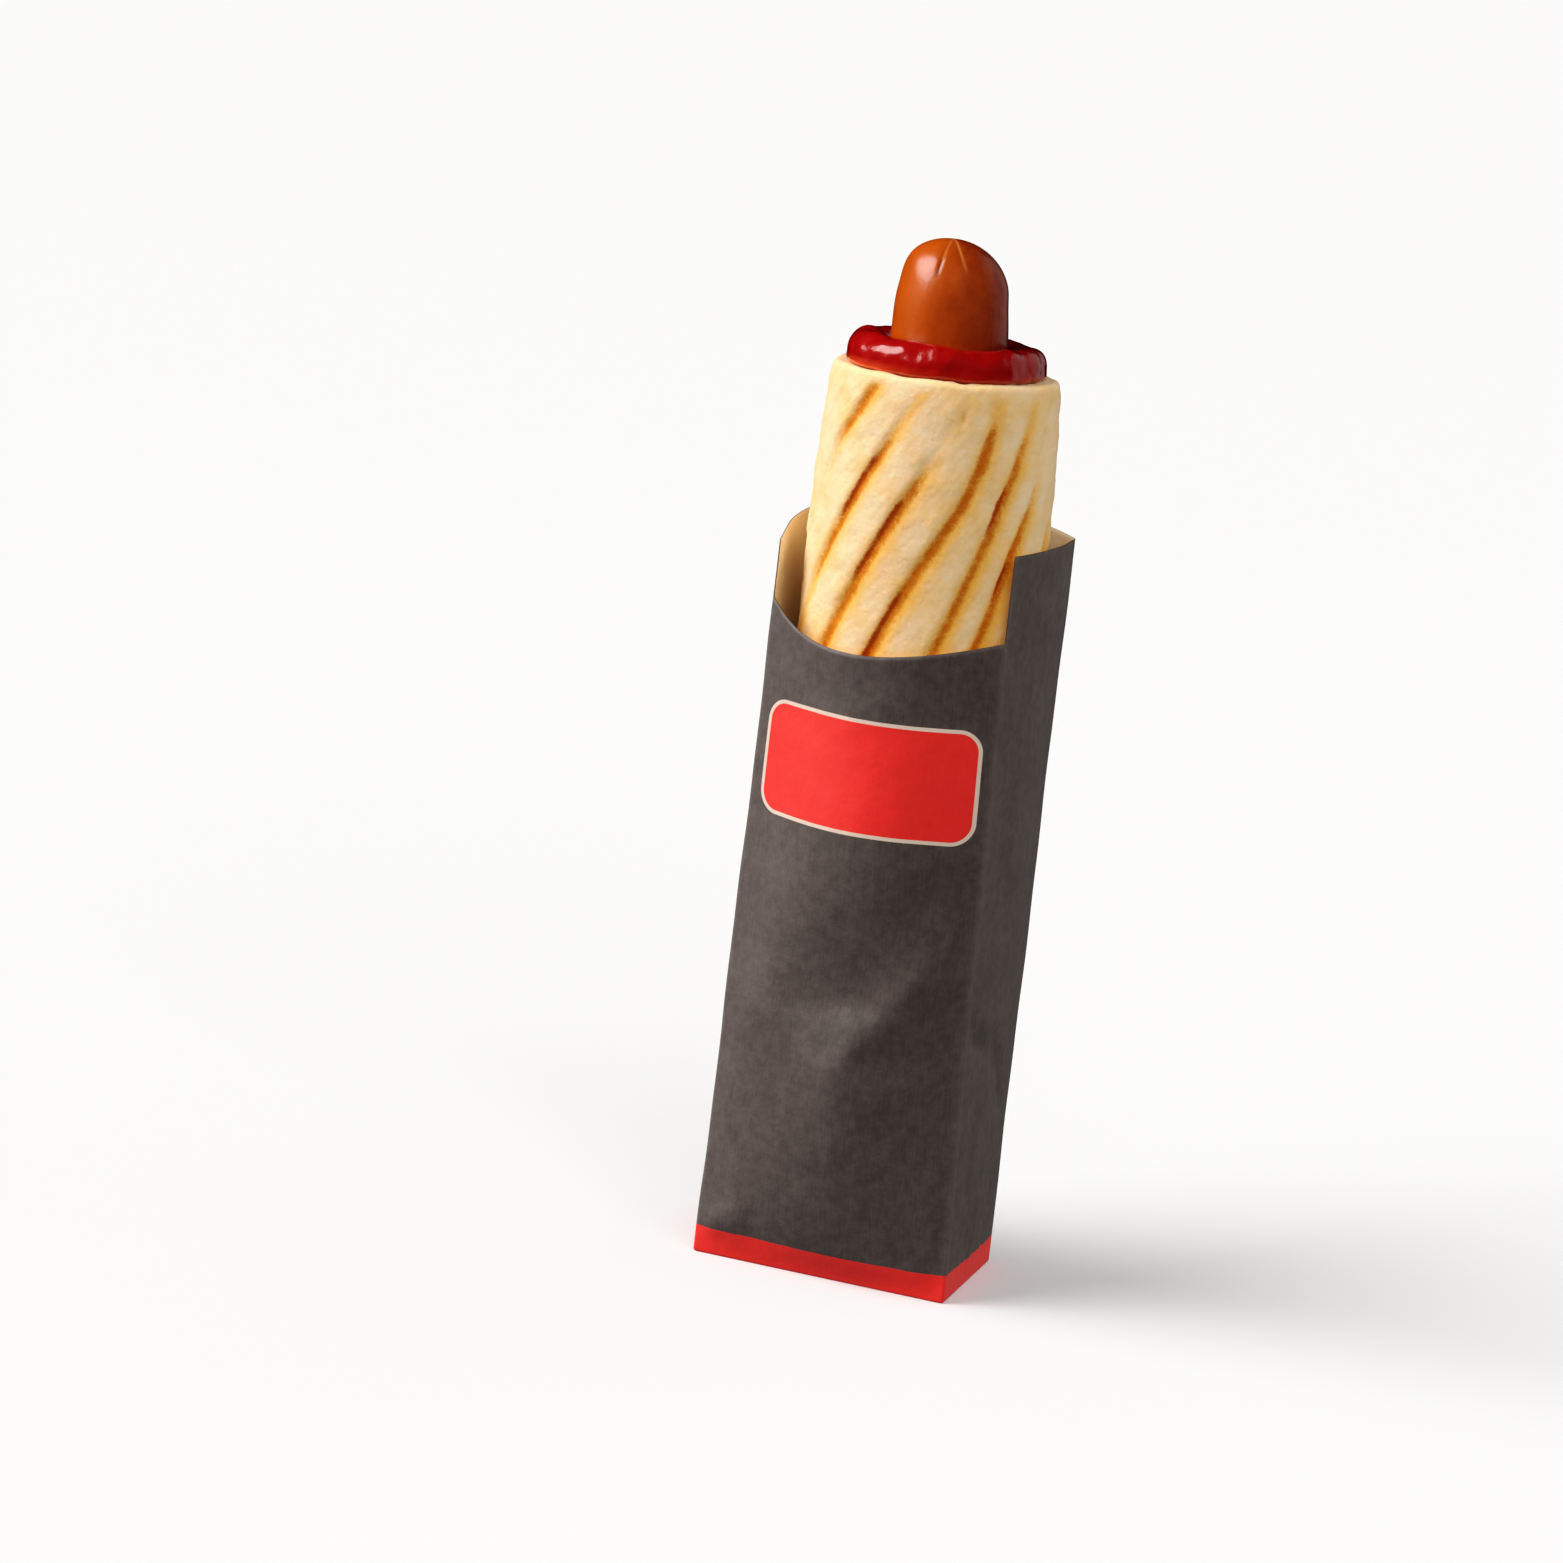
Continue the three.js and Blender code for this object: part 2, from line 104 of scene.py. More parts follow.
@dataclass(frozen=True)
class Ripples:
    """Smooth unevenness: a sum of sine waves with random directions, lengths and phases.

    Attributes:
        seed: where its random numbers start.
        wavelength: usual length of a wave.
        height: usual height of the ripples.
        stretch: how many times longer the waves are along each axis.
        lengths: shortest and longest wave, in wavelengths.
        waves: number of waves.
    """

    seed: int
    wavelength: float
    height: float = 1.0
    stretch: Triple = (1.0, 1.0, 1.0)
    lengths: Pair = (0.7, 1.6)
    waves: int = 16

    def at(self, points: Array) -> Array:
        """Height of the ripples.

        Args:
            points: places in millimetres, xyz in the last axis.

        Returns:
            One height for each place: the sum of sin(k.p + phase), divided by the root of half the count
            and multiplied by the usual height.
        """
        rng = np.random.default_rng(self.seed)
        direction = rng.normal(size=(self.waves, 3))
        direction /= np.linalg.norm(direction, axis=1, keepdims=True)
        length = self.wavelength * rng.uniform(*self.lengths, self.waves)
        phase = rng.uniform(0.0, 2.0 * np.pi, self.waves)
        wave = 2.0 * np.pi * direction / length[:, None] / np.array(self.stretch)
        return self.height * (np.sin(points @ wave.T + phase).sum(-1) / math.sqrt(self.waves / 2.0))


def summed(ripples: tuple[Ripples, ...], points: Array) -> Array:
    """Height of several ripples together."""
    return sum(part.at(points) for part in ripples)


@dataclass(frozen=True)
class Spot:
    """A soft spot on a round piece: its amount times a bell round the piece and a bell up it.

    Attributes:
        angle: angle of its middle.
        height: height of its middle.
        half_angle: half its width, in degrees.
        half_height: half its height.
        amount: its strength in the middle.
    """

    angle: float
    height: float
    half_angle: float
    half_height: float
    amount: float

    def at(self, angle: Array, height: Array) -> Array:
        """Strength of the spot at each angle and height."""
        beside = bell(turned_away(angle, self.angle), 0.0, self.half_angle)
        return self.amount * beside * bell(height, self.height, self.half_height)


@dataclass
class Patch:
    """A grid of points, rows by columns, that becomes a sheet of quads facing columns x rows.

    Attributes:
        points: xyz in millimetres, shape (rows, columns, 3).
        uv: place on the flat material in millimetres, shape (rows, columns, 2).
        values: painted values by name, each of shape (rows, columns).
        finish: index of the patch's material.
    """

    points: Array
    uv: Array | None = None
    values: dict[str, Array] = field(default_factory=dict)
    finish: int = 0

    def quads(self, first: int) -> Array:
        """Quads between neighbouring points.

        Args:
            first: number of the patch's first point.

        Returns:
            The corner numbers of each quad, one row each.
        """
        rows, columns = self.points.shape[:2]
        index = np.arange(rows * columns).reshape(rows, columns) + first
        corners = (index[:-1, :-1], index[:-1, 1:], index[1:, 1:], index[1:, :-1])
        return np.stack(corners, -1).reshape(-1, 4)


def assemble(name: str, patches: list[Patch], finishes: list[bpy.types.Material]) -> bpy.types.Object:
    """Makes one piece of several patches and welds their common borders.

    Args:
        name: the piece's name.
        patches: the sheets, whose borders meet point for point.
        finishes: the materials, in the order of the patches' finish numbers.

    Returns:
        The new object, at the origin, with smooth faces.
    """
    starts = np.cumsum([0] + [patch.points.shape[0] * patch.points.shape[1] for patch in patches])
    points = np.concatenate([patch.points.reshape(-1, 3) for patch in patches]) * MM
    faces = np.concatenate([patch.quads(int(first)) for patch, first in zip(patches, starts)])
    slots = np.concatenate([np.full(len(patch.quads(0)), patch.finish) for patch in patches])
    mesh = bpy.data.meshes.new(name)
    mesh.from_pydata(points.tolist(), [], faces.tolist())
    mesh.polygons.foreach_set("material_index", slots.astype(np.int32))
    flat = [patch.uv if patch.uv is not None else patch.points[..., :2] for patch in patches]
    uv = np.concatenate([grid.reshape(-1, 2) for grid in flat]) * MM
    layer = mesh.uv_layers.new(name=SHEET)
    layer.data.foreach_set("uv", uv[faces.ravel()].astype(np.float32).ravel())
    for value in sorted({key for patch in patches for key in patch.values}):
        grids = [patch.values.get(value, np.zeros(patch.points.shape[:2])) for patch in patches]
        attribute = mesh.attributes.new(value, "FLOAT", "POINT")
        painted = np.concatenate([grid.ravel() for grid in grids])
        attribute.data.foreach_set("value", painted.astype(np.float32))
    work = bmesh.new()
    work.from_mesh(mesh)
    bmesh.ops.remove_doubles(work, verts=work.verts, dist=WELD)
    work.to_mesh(mesh)
    work.free()
    mesh.shade_smooth()
    for finish in finishes:
        mesh.materials.append(finish)
    piece = bpy.data.objects.new(name, mesh)
    bpy.context.scene.collection.objects.link(piece)
    return piece


def hand_over(piece: bpy.types.Object, slot: Slot, *nodes: str) -> None:
    """Lets a finished piece ride on the body, hides the solids that it replaces, and reports it.

    Args:
        piece: the piece.
        slot: the record's material slot for the piece; not used.
        nodes: the solids that it replaces.
    """
    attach(piece, BODY)
    if nodes:
        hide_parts(*nodes)
    log.info("%s: %d faces", piece.name, len(piece.data.polygons))


# ---- Material helpers ----


@dataclass(frozen=True)
class Speckle:
    """A noise pattern.

    Attributes:
        scale: cells in a metre, alike all ways or along each axis.
        detail: octaves of finer noise in it.
        roughness: how much each octave counts beside the one before.
    """

    scale: float | Triple
    detail: float = 2.0
    roughness: float = 0.5


@dataclass(frozen=True)
class Relief:
    """A fine relief: its full height in metres and how strongly it shows."""

    distance: float
    strength: float


class Finish:
    """A material's node tree under construction."""

    def __init__(self, name: str) -> None:
        """Starts an empty material.

        Args:
            name: the material's name.
        """
        self.material = bpy.data.materials.new(name)
        self.material.use_nodes = True
        self.tree = self.material.node_tree
        self.tree.nodes.clear()
        self.output = self.tree.nodes.new("ShaderNodeOutputMaterial")

    def feed(self, socket: Socket, value: object) -> None:
        """Gives an input its value.

        Args:
            socket: the input.
            value: an output to link it to, or a constant to set on it.
        """
        if isinstance(value, Socket):
            self.tree.links.new(value, socket)
        else:
            socket.default_value = value

    def add(self, kind: str, settings: dict[str, object] | None = None, **inputs: object) -> bpy.types.Node:
        """Adds a node.

        Args:
            kind: node type without its ShaderNode prefix.
            settings: node properties by name.
            inputs: what each input gets, by its name with _ for a space, or by its number as i0, i1.

        Returns:
            The node.
        """
        node = self.tree.nodes.new("ShaderNode" + kind)
        for key, value in (settings or {}).items():
            setattr(node, key, value)
        for key, value in inputs.items():
            numbered = key[0] == "i" and key[1:].isdigit()
            self.feed(node.inputs[int(key[1:]) if numbered else key.replace("_", " ")], value)
        return node

    def math(self, operation: str, *values: object, clamp: bool = False) -> Socket:
        """Result of a Math node on the values."""
        inputs = {f"i{place}": value for place, value in enumerate(values)}
        return self.add("Math", {"operation": operation, "use_clamp": clamp}, **inputs).outputs[0]

    def vector(self, operation: str, *values: object) -> bpy.types.Node:
        """Vector Math node on the values."""
        return self.add("VectorMath", {"operation": operation}, **{f"i{n}": v for n, v in enumerate(values)})

    def weighted(self, *parts: tuple[Socket, float]) -> Socket:
        """Weighted sum.

        Args:
            parts: values, each with its weight.

        Returns:
            The sum of every value times its weight.
        """
        (value, weight), *others = parts
        total = self.math("MULTIPLY", value, weight)
        for value, weight in others:
            total = self.math("MULTIPLY_ADD", value, weight, total)
        return total

    def swing(self, noise: Socket, reach: float) -> Socket:
        """Noise carried from 0..1 to -reach..reach."""
        return self.math("MULTIPLY_ADD", noise, 2.0 * reach, -reach)

    def ramp(self, value: Socket, low: float, high: float, top: float = 1.0) -> Socket:
        """Value carried smoothly from the range low..high to 0..top."""
        settings = {"interpolation_type": "SMOOTHSTEP"}
        return self.add("MapRange", settings, i0=value, i1=low, i2=high, i3=0.0, i4=top).outputs[0]

    def mix(self, share: Socket, under: Socket | Colour, over: Socket | Colour) -> Socket:
        """Colour between two.

        Args:
            share: how much of the upper one shows, from 0 to 1.
            under: the lower colour.
            over: the upper colour.

        Returns:
            The mixed colour.
        """
        node = self.add("Mix", {"data_type": "RGBA", "blend_type": "MIX", "clamp_factor": True}, i0=share)
        for number, colour in ((6, under), (7, over)):
            self.feed(node.inputs[number], colour if isinstance(colour, Socket) else (*colour, 1.0))
        return node.outputs[2]

    def sheet(self) -> Socket:
        """Place on the flat material."""
        return self.add("UVMap", {"uv_map": SHEET}).outputs[0]

    def place(self) -> Socket:
        """Place in the object's own coordinates."""
        return self.add("TexCoord").outputs["Object"]

    def noise(self, speckle: Speckle, place: Socket | None = None) -> Socket:
        """Noise texture.

        Args:
            speckle: the pattern.
            place: what it is read at, the object's own coordinates if nothing is given.

        Returns:
            The noise, from 0 to 1.
        """
        place, scale = self.place() if place is None else place, speckle.scale
        if isinstance(scale, tuple):
            place, scale = self.add("Mapping", Vector=place, Scale=scale).outputs[0], 1.0
        look = {"Detail": speckle.detail, "Roughness": speckle.roughness}
        return self.add("TexNoise", Vector=place, Scale=scale, **look).outputs["Fac"]

    def painted(self, name: str) -> Socket:
        """A value painted on the mesh's points."""
        settings = {"attribute_name": name, "attribute_type": "GEOMETRY"}
        return self.add("Attribute", settings).outputs["Fac"]

    def bump(self, height: Socket, relief: Relief, under: Socket | None = None) -> Socket:
        """Normal of a relief.

        Args:
            height: height of the relief as a share of its full height.
            relief: its full height and strength.
            under: normal of the relief that it lies on, if there is one.

        Returns:
            The normal.
        """
        node = self.add("Bump", Height=height, Distance=relief.distance, Strength=relief.strength)
        if under is not None:
            self.feed(node.inputs["Normal"], under)
        return node.outputs[0]

    def done(self, **inputs: object) -> bpy.types.Material:
        """Ends the material with its shader.

        Args:
            inputs: what each input of the shader gets, by its name with _ for a space.

        Returns:
            The material.
        """
        shader = self.add("BsdfPrincipled", **inputs)
        self.feed(self.output.inputs["Surface"], shader.outputs[0])
        return self.material


# ---- The sleeve ----


@dataclass(frozen=True)
class PrintedPaper:
    """The outside of the sleeve: warm dark grey print on kraft, a red foot band and a red label.

    Lengths are millimetres on the flat paper, and a blur is half the width over which an edge fades. Tones
    are the values of the paper's pattern between which a colour goes from dark to light, and the weights
    say how much clouds, fibres, mottle and grain count in it. worn_share is how much of its colour a fully
    worn fold shows, red_darkest the darkest red as a share of the red, and band_wobble how far the band's
    edge wanders in all. sheen is the weight and roughness of the shader's sheen.
    """

    grey_dark: Colour = (0.078, 0.057, 0.050)
    grey_light: Colour = (0.130, 0.101, 0.091)
    grey_tones: Pair = (0.50, 0.98)
    worn: Colour = (0.24, 0.19, 0.165)
    worn_share: float = 0.24
    red: Colour = (1.0, 0.021, 0.012)
    red_darkest: float = 0.90
    red_tones: Pair = (0.5, 1.0)
    cream: Colour = (0.80, 0.62, 0.50)
    band_height: float = 6.6
    band_wobble: float = 0.6
    band_blur: float = 0.08
    label_centre: Pair = (30.9, 119.4)
    label_half: Pair = (27.6, 13.1)
    label_corner: float = 5.2
    label_blur: float = 0.07
    outline: float = 0.85
    clouds: Speckle = Speckle(80.0)
    fibres: Speckle = Speckle((2600.0, 160.0, 1.0), 3.0, 0.6)
    mottle: Speckle = Speckle(420.0, 4.0, 0.62)
    grain: Speckle = Speckle(1700.0, 3.0, 0.7)
    weights: Four = (0.22, 0.40, 0.55, 0.30)
    wander: Speckle = Speckle(120.0)
    crinkles: Speckle = Speckle(190.0, 3.0, 0.55)
    rough: Relief = Relief(0.00007, 0.8)
    crinkled: Relief = Relief(0.0006, 0.35)
    roughness: float = 0.62
    gloss: float = 1.0
    sheen: Pair = (0.10, 0.6)

    def label_distance(self, finish: Finish) -> Socket:
        """Distance from the label's edge, negative inside: that of a rectangle with rounded corners.

        Args:
            finish: the material under construction.

        Returns:
            The length of max(q, 0) plus min(max(qx, qy), 0), less the corner's radius, in metres, where q is
            how far a place lies past the corners' centres.
        """
        shift = (-self.label_centre[0] * MM, -self.label_centre[1] * MM, 0.0)
        place = finish.vector("ADD", finish.sheet(), shift).outputs[0]
        inner = tuple((half - self.label_corner) * MM for half in self.label_half)
        away = finish.vector("ABSOLUTE", place).outputs[0]
        away = finish.vector("SUBTRACT", away, (*inner, 0.0)).outputs[0]
        outside = finish.vector("MAXIMUM", away, (0.0, 0.0, 0.0)).outputs[0]
        length = finish.vector("LENGTH", outside).outputs["Value"]
        parts = finish.add("SeparateXYZ", Vector=away)
        inside = finish.math("MINIMUM", finish.math("MAXIMUM", parts.outputs[0], parts.outputs[1]), 0.0)
        return finish.math("SUBTRACT", finish.math("ADD", length, inside), self.label_corner * MM)

    def band(self, finish: Finish) -> Socket:
        """Strength of the foot band.

        Args:
            finish: the material under construction.

        Returns:
            1 below the band's wandering upper edge and 0 above it.
        """
        sheet = finish.add("SeparateXYZ", Vector=finish.sheet())
        across = finish.add("CombineXYZ", X=sheet.outputs[0]).outputs[0]
        lowest = (self.band_height - self.band_wobble / 2.0) * MM
        top = finish.math("MULTIPLY_ADD", finish.noise(self.wander, across), self.band_wobble * MM, lowest)
        blur = self.band_blur * MM
        return finish.ramp(finish.math("SUBTRACT", sheet.outputs[1], top), blur, -blur)

    def make(self) -> bpy.types.Material:
        """Builds the material from clouds, upright fibres and grain, with the print's fields over them.

        Returns:
            The material.
        """
        finish = Finish("printed_paper")
        clouds, mottle, grain = (finish.noise(part) for part in (self.clouds, self.mottle, self.grain))
        fibres = finish.noise(self.fibres, finish.sheet())
        tone = finish.weighted(*zip((clouds, fibres, mottle, grain), self.weights))
        grey = finish.mix(finish.ramp(tone, *self.grey_tones), self.grey_dark, self.grey_light)
        grey = finish.mix(finish.math("MULTIPLY", finish.painted("worn"), self.worn_share), grey, self.worn)
        darkest = tuple(self.red_darkest * part for part in self.red)
        ink = finish.mix(finish.ramp(tone, *self.red_tones), darkest, self.red)
        edge = self.label_distance(finish)
        line, blur = -self.outline * MM, self.label_blur * MM
        colour = finish.mix(self.band(finish), grey, ink)
        colour = finish.mix(finish.ramp(edge, blur, -blur), colour, self.cream)
        colour = finish.mix(finish.ramp(edge, line + blur, line - blur), colour, ink)
        rough = finish.bump(finish.weighted((grain, 0.5), (fibres, 0.5)), self.rough)
        crinkled = finish.bump(finish.noise(self.crinkles), self.crinkled, rough)
        weight, spread = self.sheen
        return finish.done(
            Base_Color=colour,
            Roughness=self.roughness,
            Normal=crinkled,
            Specular_IOR_Level=self.gloss,
            Sheen_Weight=weight,
            Sheen_Roughness=spread,
        )


@dataclass(frozen=True)
class BareKraft:
    """Kraft paper without print, for the inside of the sleeve and its cut edges.

    The fibres and the clouds of its pattern have one weight, and tones are the values of the pattern
    between which the colour goes from dark to light.
    """

    name: str = "bare_kraft"
    light: Colour = (0.98, 0.87, 0.65)
    dark: Colour = (0.94, 0.79, 0.55)
    tones: Pair = (0.35, 0.85)
    fibres: Speckle = Speckle((2200.0, 220.0, 1.0), 3.0, 0.6)
    clouds: Speckle = Speckle(140.0)
    weight: float = 0.6
    rough: Relief = Relief(0.00008, 0.8)
    roughness: float = 0.8
    gloss: float = 0.25

    def make(self) -> bpy.types.Material:
        """Builds the material from upright fibres and clouds.

        Returns:
            The material.
        """
        finish = Finish(self.name)
        fibres = finish.noise(self.fibres, finish.sheet())
        tone = finish.weighted((finish.noise(self.clouds), self.weight), (fibres, self.weight))
        colour = finish.mix(finish.ramp(tone, *self.tones), self.dark, self.light)
        normal = finish.bump(fibres, self.rough)
        return finish.done(
            Base_Color=colour, Roughness=self.roughness, Normal=normal, Specular_IOR_Level=self.gloss
        )


@dataclass(frozen=True)
class Dent:
    """A soft dent or fold in a panel: a slanted bell, steeper on one side where skew is not 0.

    Attributes:
        panel: the panel it lies in.
        across: distance of its middle from the panel's first crease.
        height: height of its middle.
        slant: angle of its long axis from level, in degrees.
        length: half its length along that axis.
        width: half its width.
        depth: how far it goes in; below 0 it bulges out.
        skew: from -1 to 1, how much steeper its upper side is than its lower one.
        skewed: share of the width that a skew of 1 takes off one side and adds to the other.
    """

    panel: Panel
    across: float
    height: float
    slant: float
    length: float
    width: float
    depth: float
    skew: float = 0.0
    skewed: float = 0.6

    def at(self, across: Array, height: Array) -> Array:
        """How far out the dent moves the paper.

        Args:
            across: distances from the panel's first crease.
            height: heights.

        Returns:
            Minus its depth times a bell along its axis and a bell across it.
        """
        turn = math.radians(self.slant)
        right, up = across - self.across, height - self.height
        along = right * math.cos(turn) + up * math.sin(turn)
        over = up * math.cos(turn) - right * math.sin(turn)
        uneven = self.skewed * self.skew
        width = self.width * np.where(over > 0, 1.0 - uneven, 1.0 + uneven)
        return -self.depth * np.exp(-((along / self.length) ** 2) - (over / width) ** 2)


@dataclass(frozen=True)
class BottomFolds:
    """The folds of the bottom: two long flaps meet past the middle, over the gussets' triangles."""

    # From where to where, front to back, the paper steps up onto the upper flap.
    flap_edge: Pair = (-3.2, -2.9)
    flap_fold: float = -3.0  # where that edge is worn
    flap_step: float = 0.16  # height of the step
    # Distance of a gusset's point from the middle, and its slope from there outwards.
    gusset: Pair = (12.2, 0.98)
    gusset_step: float = 0.12  # height of the step over a gusset
    gusset_blur: float = 0.3  # half the width of that step
    worn_half: float = 0.35  # half the width of a worn fold
    rim_fade: Pair = (0.4, 1.6)  # distances from the rim between which the steps and the wear fade in

    def relief(self, x: Array, y: Array, rim: Array) -> tuple[Array, Array]:
        """Height and wear of the folded paper.

        Args:
            x: places from left to right.
            y: places from front to back.
            rim: distance of each place from the bottom's rim.

        Returns:
            How far the paper is pressed up, a sum of small smooth steps, and how worn it is, a sum of bells
            across the folds of at most 1. Both fade out at the rim.
        """
        point, slope = self.gusset
        past = np.abs(x) - (point + slope * np.abs(y))
        middle = smoothstep(past, self.gusset_blur, -self.gusset_blur)
        lift = self.flap_step * smoothstep(y, *self.flap_edge) + self.gusset_step * (1.0 - middle)
        folds = bell(y, self.flap_fold, self.worn_half) + bell(past, 0.0, self.worn_half)
        fade = smoothstep(rim, *self.rim_fade)
        return lift * fade, np.minimum(folds, 1.0) * fade


@dataclass(frozen=True)
class GluedSeam:
    """The strip of the paper that is glued down the back, in shares of the back panel."""

    left: Pair = (0.42, 0.428)  # its left edge, and where it has its full thickness
    right: Pair = (0.60, 0.592)  # its right edge, and where it has its full thickness
    rise: Pair = (0.012, 0.998)  # shares of the panel's height at its lower and upper end
    columns: int = 14
    rows: int = 150
    clearance: float = 0.03  # how far its edges stand off the panel, in millimetres
    thickness: float = 0.24  # how much further its middle does
    worn: Pair = (0.8, 0.006)  # how worn its edges are, and half the width of the wear


@dataclass
class Sleeve:
    """The paper sleeve: four panels that bulge round the roll, a scooped front and a folded block bottom."""

    # Width of each panel, in the order of Panel.
    widths: Four = (36.5, 61.0, 36.5, 61.0)
    # How far each panel bulges out at the mouth.
    swells: Four = (1.8, 5.8, 1.4, 11.6)
    thickness: float = 0.22
    mouth: float = 155.0  # height at which the swell is full
    swell_power: float = 0.35  # power of the height by which the swell grows
    stiff_base: float = 8.0  # height over which the stiff bottom holds the swell back
    right_share: float = 0.67  # share of the front panel's narrowing that the right side takes
    setback: float = 1.9  # how far the front creases step back up to the mouth
    back_edge: float = 172.0  # height of the back panel's top corners
    back_crown: float = 2.6  # how much higher that panel's top edge is in its middle
    crown_power: float = 3.5  # power by which the edge falls off to the corners
    right_edge: float = 171.8  # height of the right panel's front corner
    left_edge: float = 167.0  # height of the left panel's front corner
    left_rounding: float = 2.6  # how much of the left panel's front corner is rounded off
    rounding_power: float = 6.0
    scoop_lowest: Pair = (-4.0, 146.6)  # x and height of the scooped edge's lowest place
    scoop_left: Triple = (-28.2, 154.3, 3.0)  # x, height and power of its left end
    scoop_right: Triple = (26.2, 152.3, 1.6)  # x, height and power of its right end
    crease_radius: float = 0.7
    # Size, length and phase step of the waves in a crease.
    crease_waves: tuple[Triple, ...] = ((0.12, 13.0, 1.7), (0.05, 4.3, 2.9))
    crease_fade: Pair = (4.0, 20.0)  # heights between which those waves fade in
    crease_depth: float = 0.4  # share of a front crease's waves that goes front to back
    foot_radius: float = 0.6
    foot_half: float = 28.0  # half size of the bottom, by which the foot's rounding shrinks the plan
    column_step: float = 1.05
    crease_columns: tuple[float, ...] = (0.0, 0.25, 0.5, 0.75, 1.0, 1.7)  # columns beside a crease, in radii
    row_step: float = 1.1
    foot_rows: tuple[float, ...] = (0.0, 0.2, 0.4, 0.6, 0.9, 1.5)  # lowest rows
    upper_rows: int = 22  # rows between the scoop's ends and the top edge
    waves: tuple[Ripples, ...] = (Ripples(11, 24.0, 0.13, (1.0, 1.6, 1.0)), Ripples(12, 7.0, 0.035))
    ripple_gap: float = 50.0  # how far apart the panels lie in the waves
    crinkles: Ripples = Ripples(13, 4.2, stretch=(1.0, 6.0, 1.0))
    crinkle_height: float = 0.14
    crinkle_place: Pair = (9.0, 9.0)  # height of the crinkles' middle, and half the height they cover
    side_fade: Pair = (0.0, 5.0)  # distances from a crease between which the relief fades in
    foot_fade: Pair = (0.5, 7.0)  # heights between which the relief fades in
    worn_half: float = 0.9  # half the width of the wear along a crease
    bottom_shift: float = 60.0  # how far below the foot's line the bottom starts on the flat paper
    folds: BottomFolds = BottomFolds()
    strip: GluedSeam = GluedSeam()
    cut_light: Colour = (0.14, 0.10, 0.078)
    cut_dark: Colour = (0.09, 0.068, 0.054)
    dents: tuple[Dent, ...] = (
        Dent(Panel.FRONT, 36.0, 68.5, 3.0, 13.7, 10.0, 1.5, -0.8),
        Dent(Panel.FRONT, 44.3, 66.7, 48.0, 16.6, 6.4, -1.5, -0.1),
        Dent(Panel.FRONT, 36.0, 47.6, -21.0, 21.0, 16.0, -1.6, 0.8),
        Dent(Panel.FRONT, 51.2, 89.0, 84.0, 34.0, 16.0, -1.6, -0.8),
        Dent(Panel.FRONT, 27.5, 99.5, 62.0, 33.6, 16.0, -1.4),
        Dent(Panel.FRONT, 51.2, 94.4, 58.0, 6.9, 8.3, 0.95, 0.8),
        Dent(Panel.FRONT, 8.6, 10.0, -77.0, 4.0, 9.5, -1.0, 0.8),
        Dent(Panel.FRONT, 43.5, 29.6, 110.0, 34.0, 16.0, -1.6, -0.8),
        Dent(Panel.FRONT, 9.2, 59.4, -8.0, 6.3, 15.7, -1.0, 0.2),
        Dent(Panel.FRONT, 36.6, 57.8, 57.0, 7.5, 2.4, -0.34),
        Dent(Panel.FRONT, 48.6, 73.7, 62.0, 11.0, 2.4, -0.34),
        Dent(Panel.FRONT, 12.0, 32.0, 90.0, 36.0, 9.0, -0.50),
        Dent(Panel.FRONT, 46.0, 138.0, 80.0, 6.0, 5.0, 0.55),
        Dent(Panel.FRONT, 26.0, 140.0, 15.0, 9.0, 5.0, 0.35),
        Dent(Panel.FRONT, 9.0, 139.0, 70.0, 8.0, 4.5, -0.35),
        Dent(Panel.FRONT, 14.0, 12.5, 40.0, 5.0, 3.6, 0.4, 0.4),
        Dent(Panel.RIGHT, 8.0, 59.0, -25.0, 9.0, 3.0, 0.85, 0.6),
        Dent(Panel.RIGHT, 8.0, 65.5, -20.0, 8.0, 2.6, -0.5),
        Dent(Panel.RIGHT, 22.0, 50.0, -58.0, 14.0, 3.2, 0.75, 0.5),
        Dent(Panel.RIGHT, 9.0, 36.0, 84.0, 17.0, 3.0, 0.5),
        Dent(Panel.RIGHT, 18.0, 22.0, 82.0, 12.0, 2.6, -0.45),
        Dent(Panel.RIGHT, 27.0, 18.0, 75.0, 11.0, 2.6, 0.5),
        Dent(Panel.RIGHT, 9.0, 122.0, 80.0, 14.0, 4.0, 0.35),
        Dent(Panel.RIGHT, 12.0, 93.0, -70.0, 12.0, 4.5, 0.45),
        Dent(Panel.LEFT, 26.0, 62.0, 35.0, 10.0, 3.5, 0.8, 0.5),
        Dent(Panel.LEFT, 12.0, 30.0, 80.0, 14.0, 3.5, 0.6),
        Dent(Panel.LEFT, 16.0, 110.0, -60.0, 12.0, 4.5, 0.4),
        Dent(Panel.BACK, 20.0, 70.0, -30.0, 14.0, 5.0, 0.9, 0.5),
        Dent(Panel.BACK, 44.0, 46.0, 35.0, 12.0, 5.0, 0.8),
        Dent(Panel.BACK, 18.0, 118.0, 65.0, 14.0, 5.0, 0.45),
        Dent(Panel.BACK, 48.0, 128.0, -40.0, 12.0, 4.5, 0.4),
    )

    def width(self, panel: Panel) -> float:
        """Width of a panel."""
        return self.widths[panel.value]

    def flat_start(self, panel: Panel) -> float:
        """Where a panel starts on the flat paper: the widths before it, counted from the front panel on."""
        before = (panel.value + 1) % len(Panel)
        return float(sum((self.widths[-1:] + self.widths)[:before]))

    def share(self, height: Array) -> Array:
        """Share of the full swell at a height: a power of the height, held back near the stiff base."""
        height = np.maximum(height, 0.0)
        return (height / self.mouth) ** self.swell_power * (1.0 - np.exp(-height / self.stiff_base))

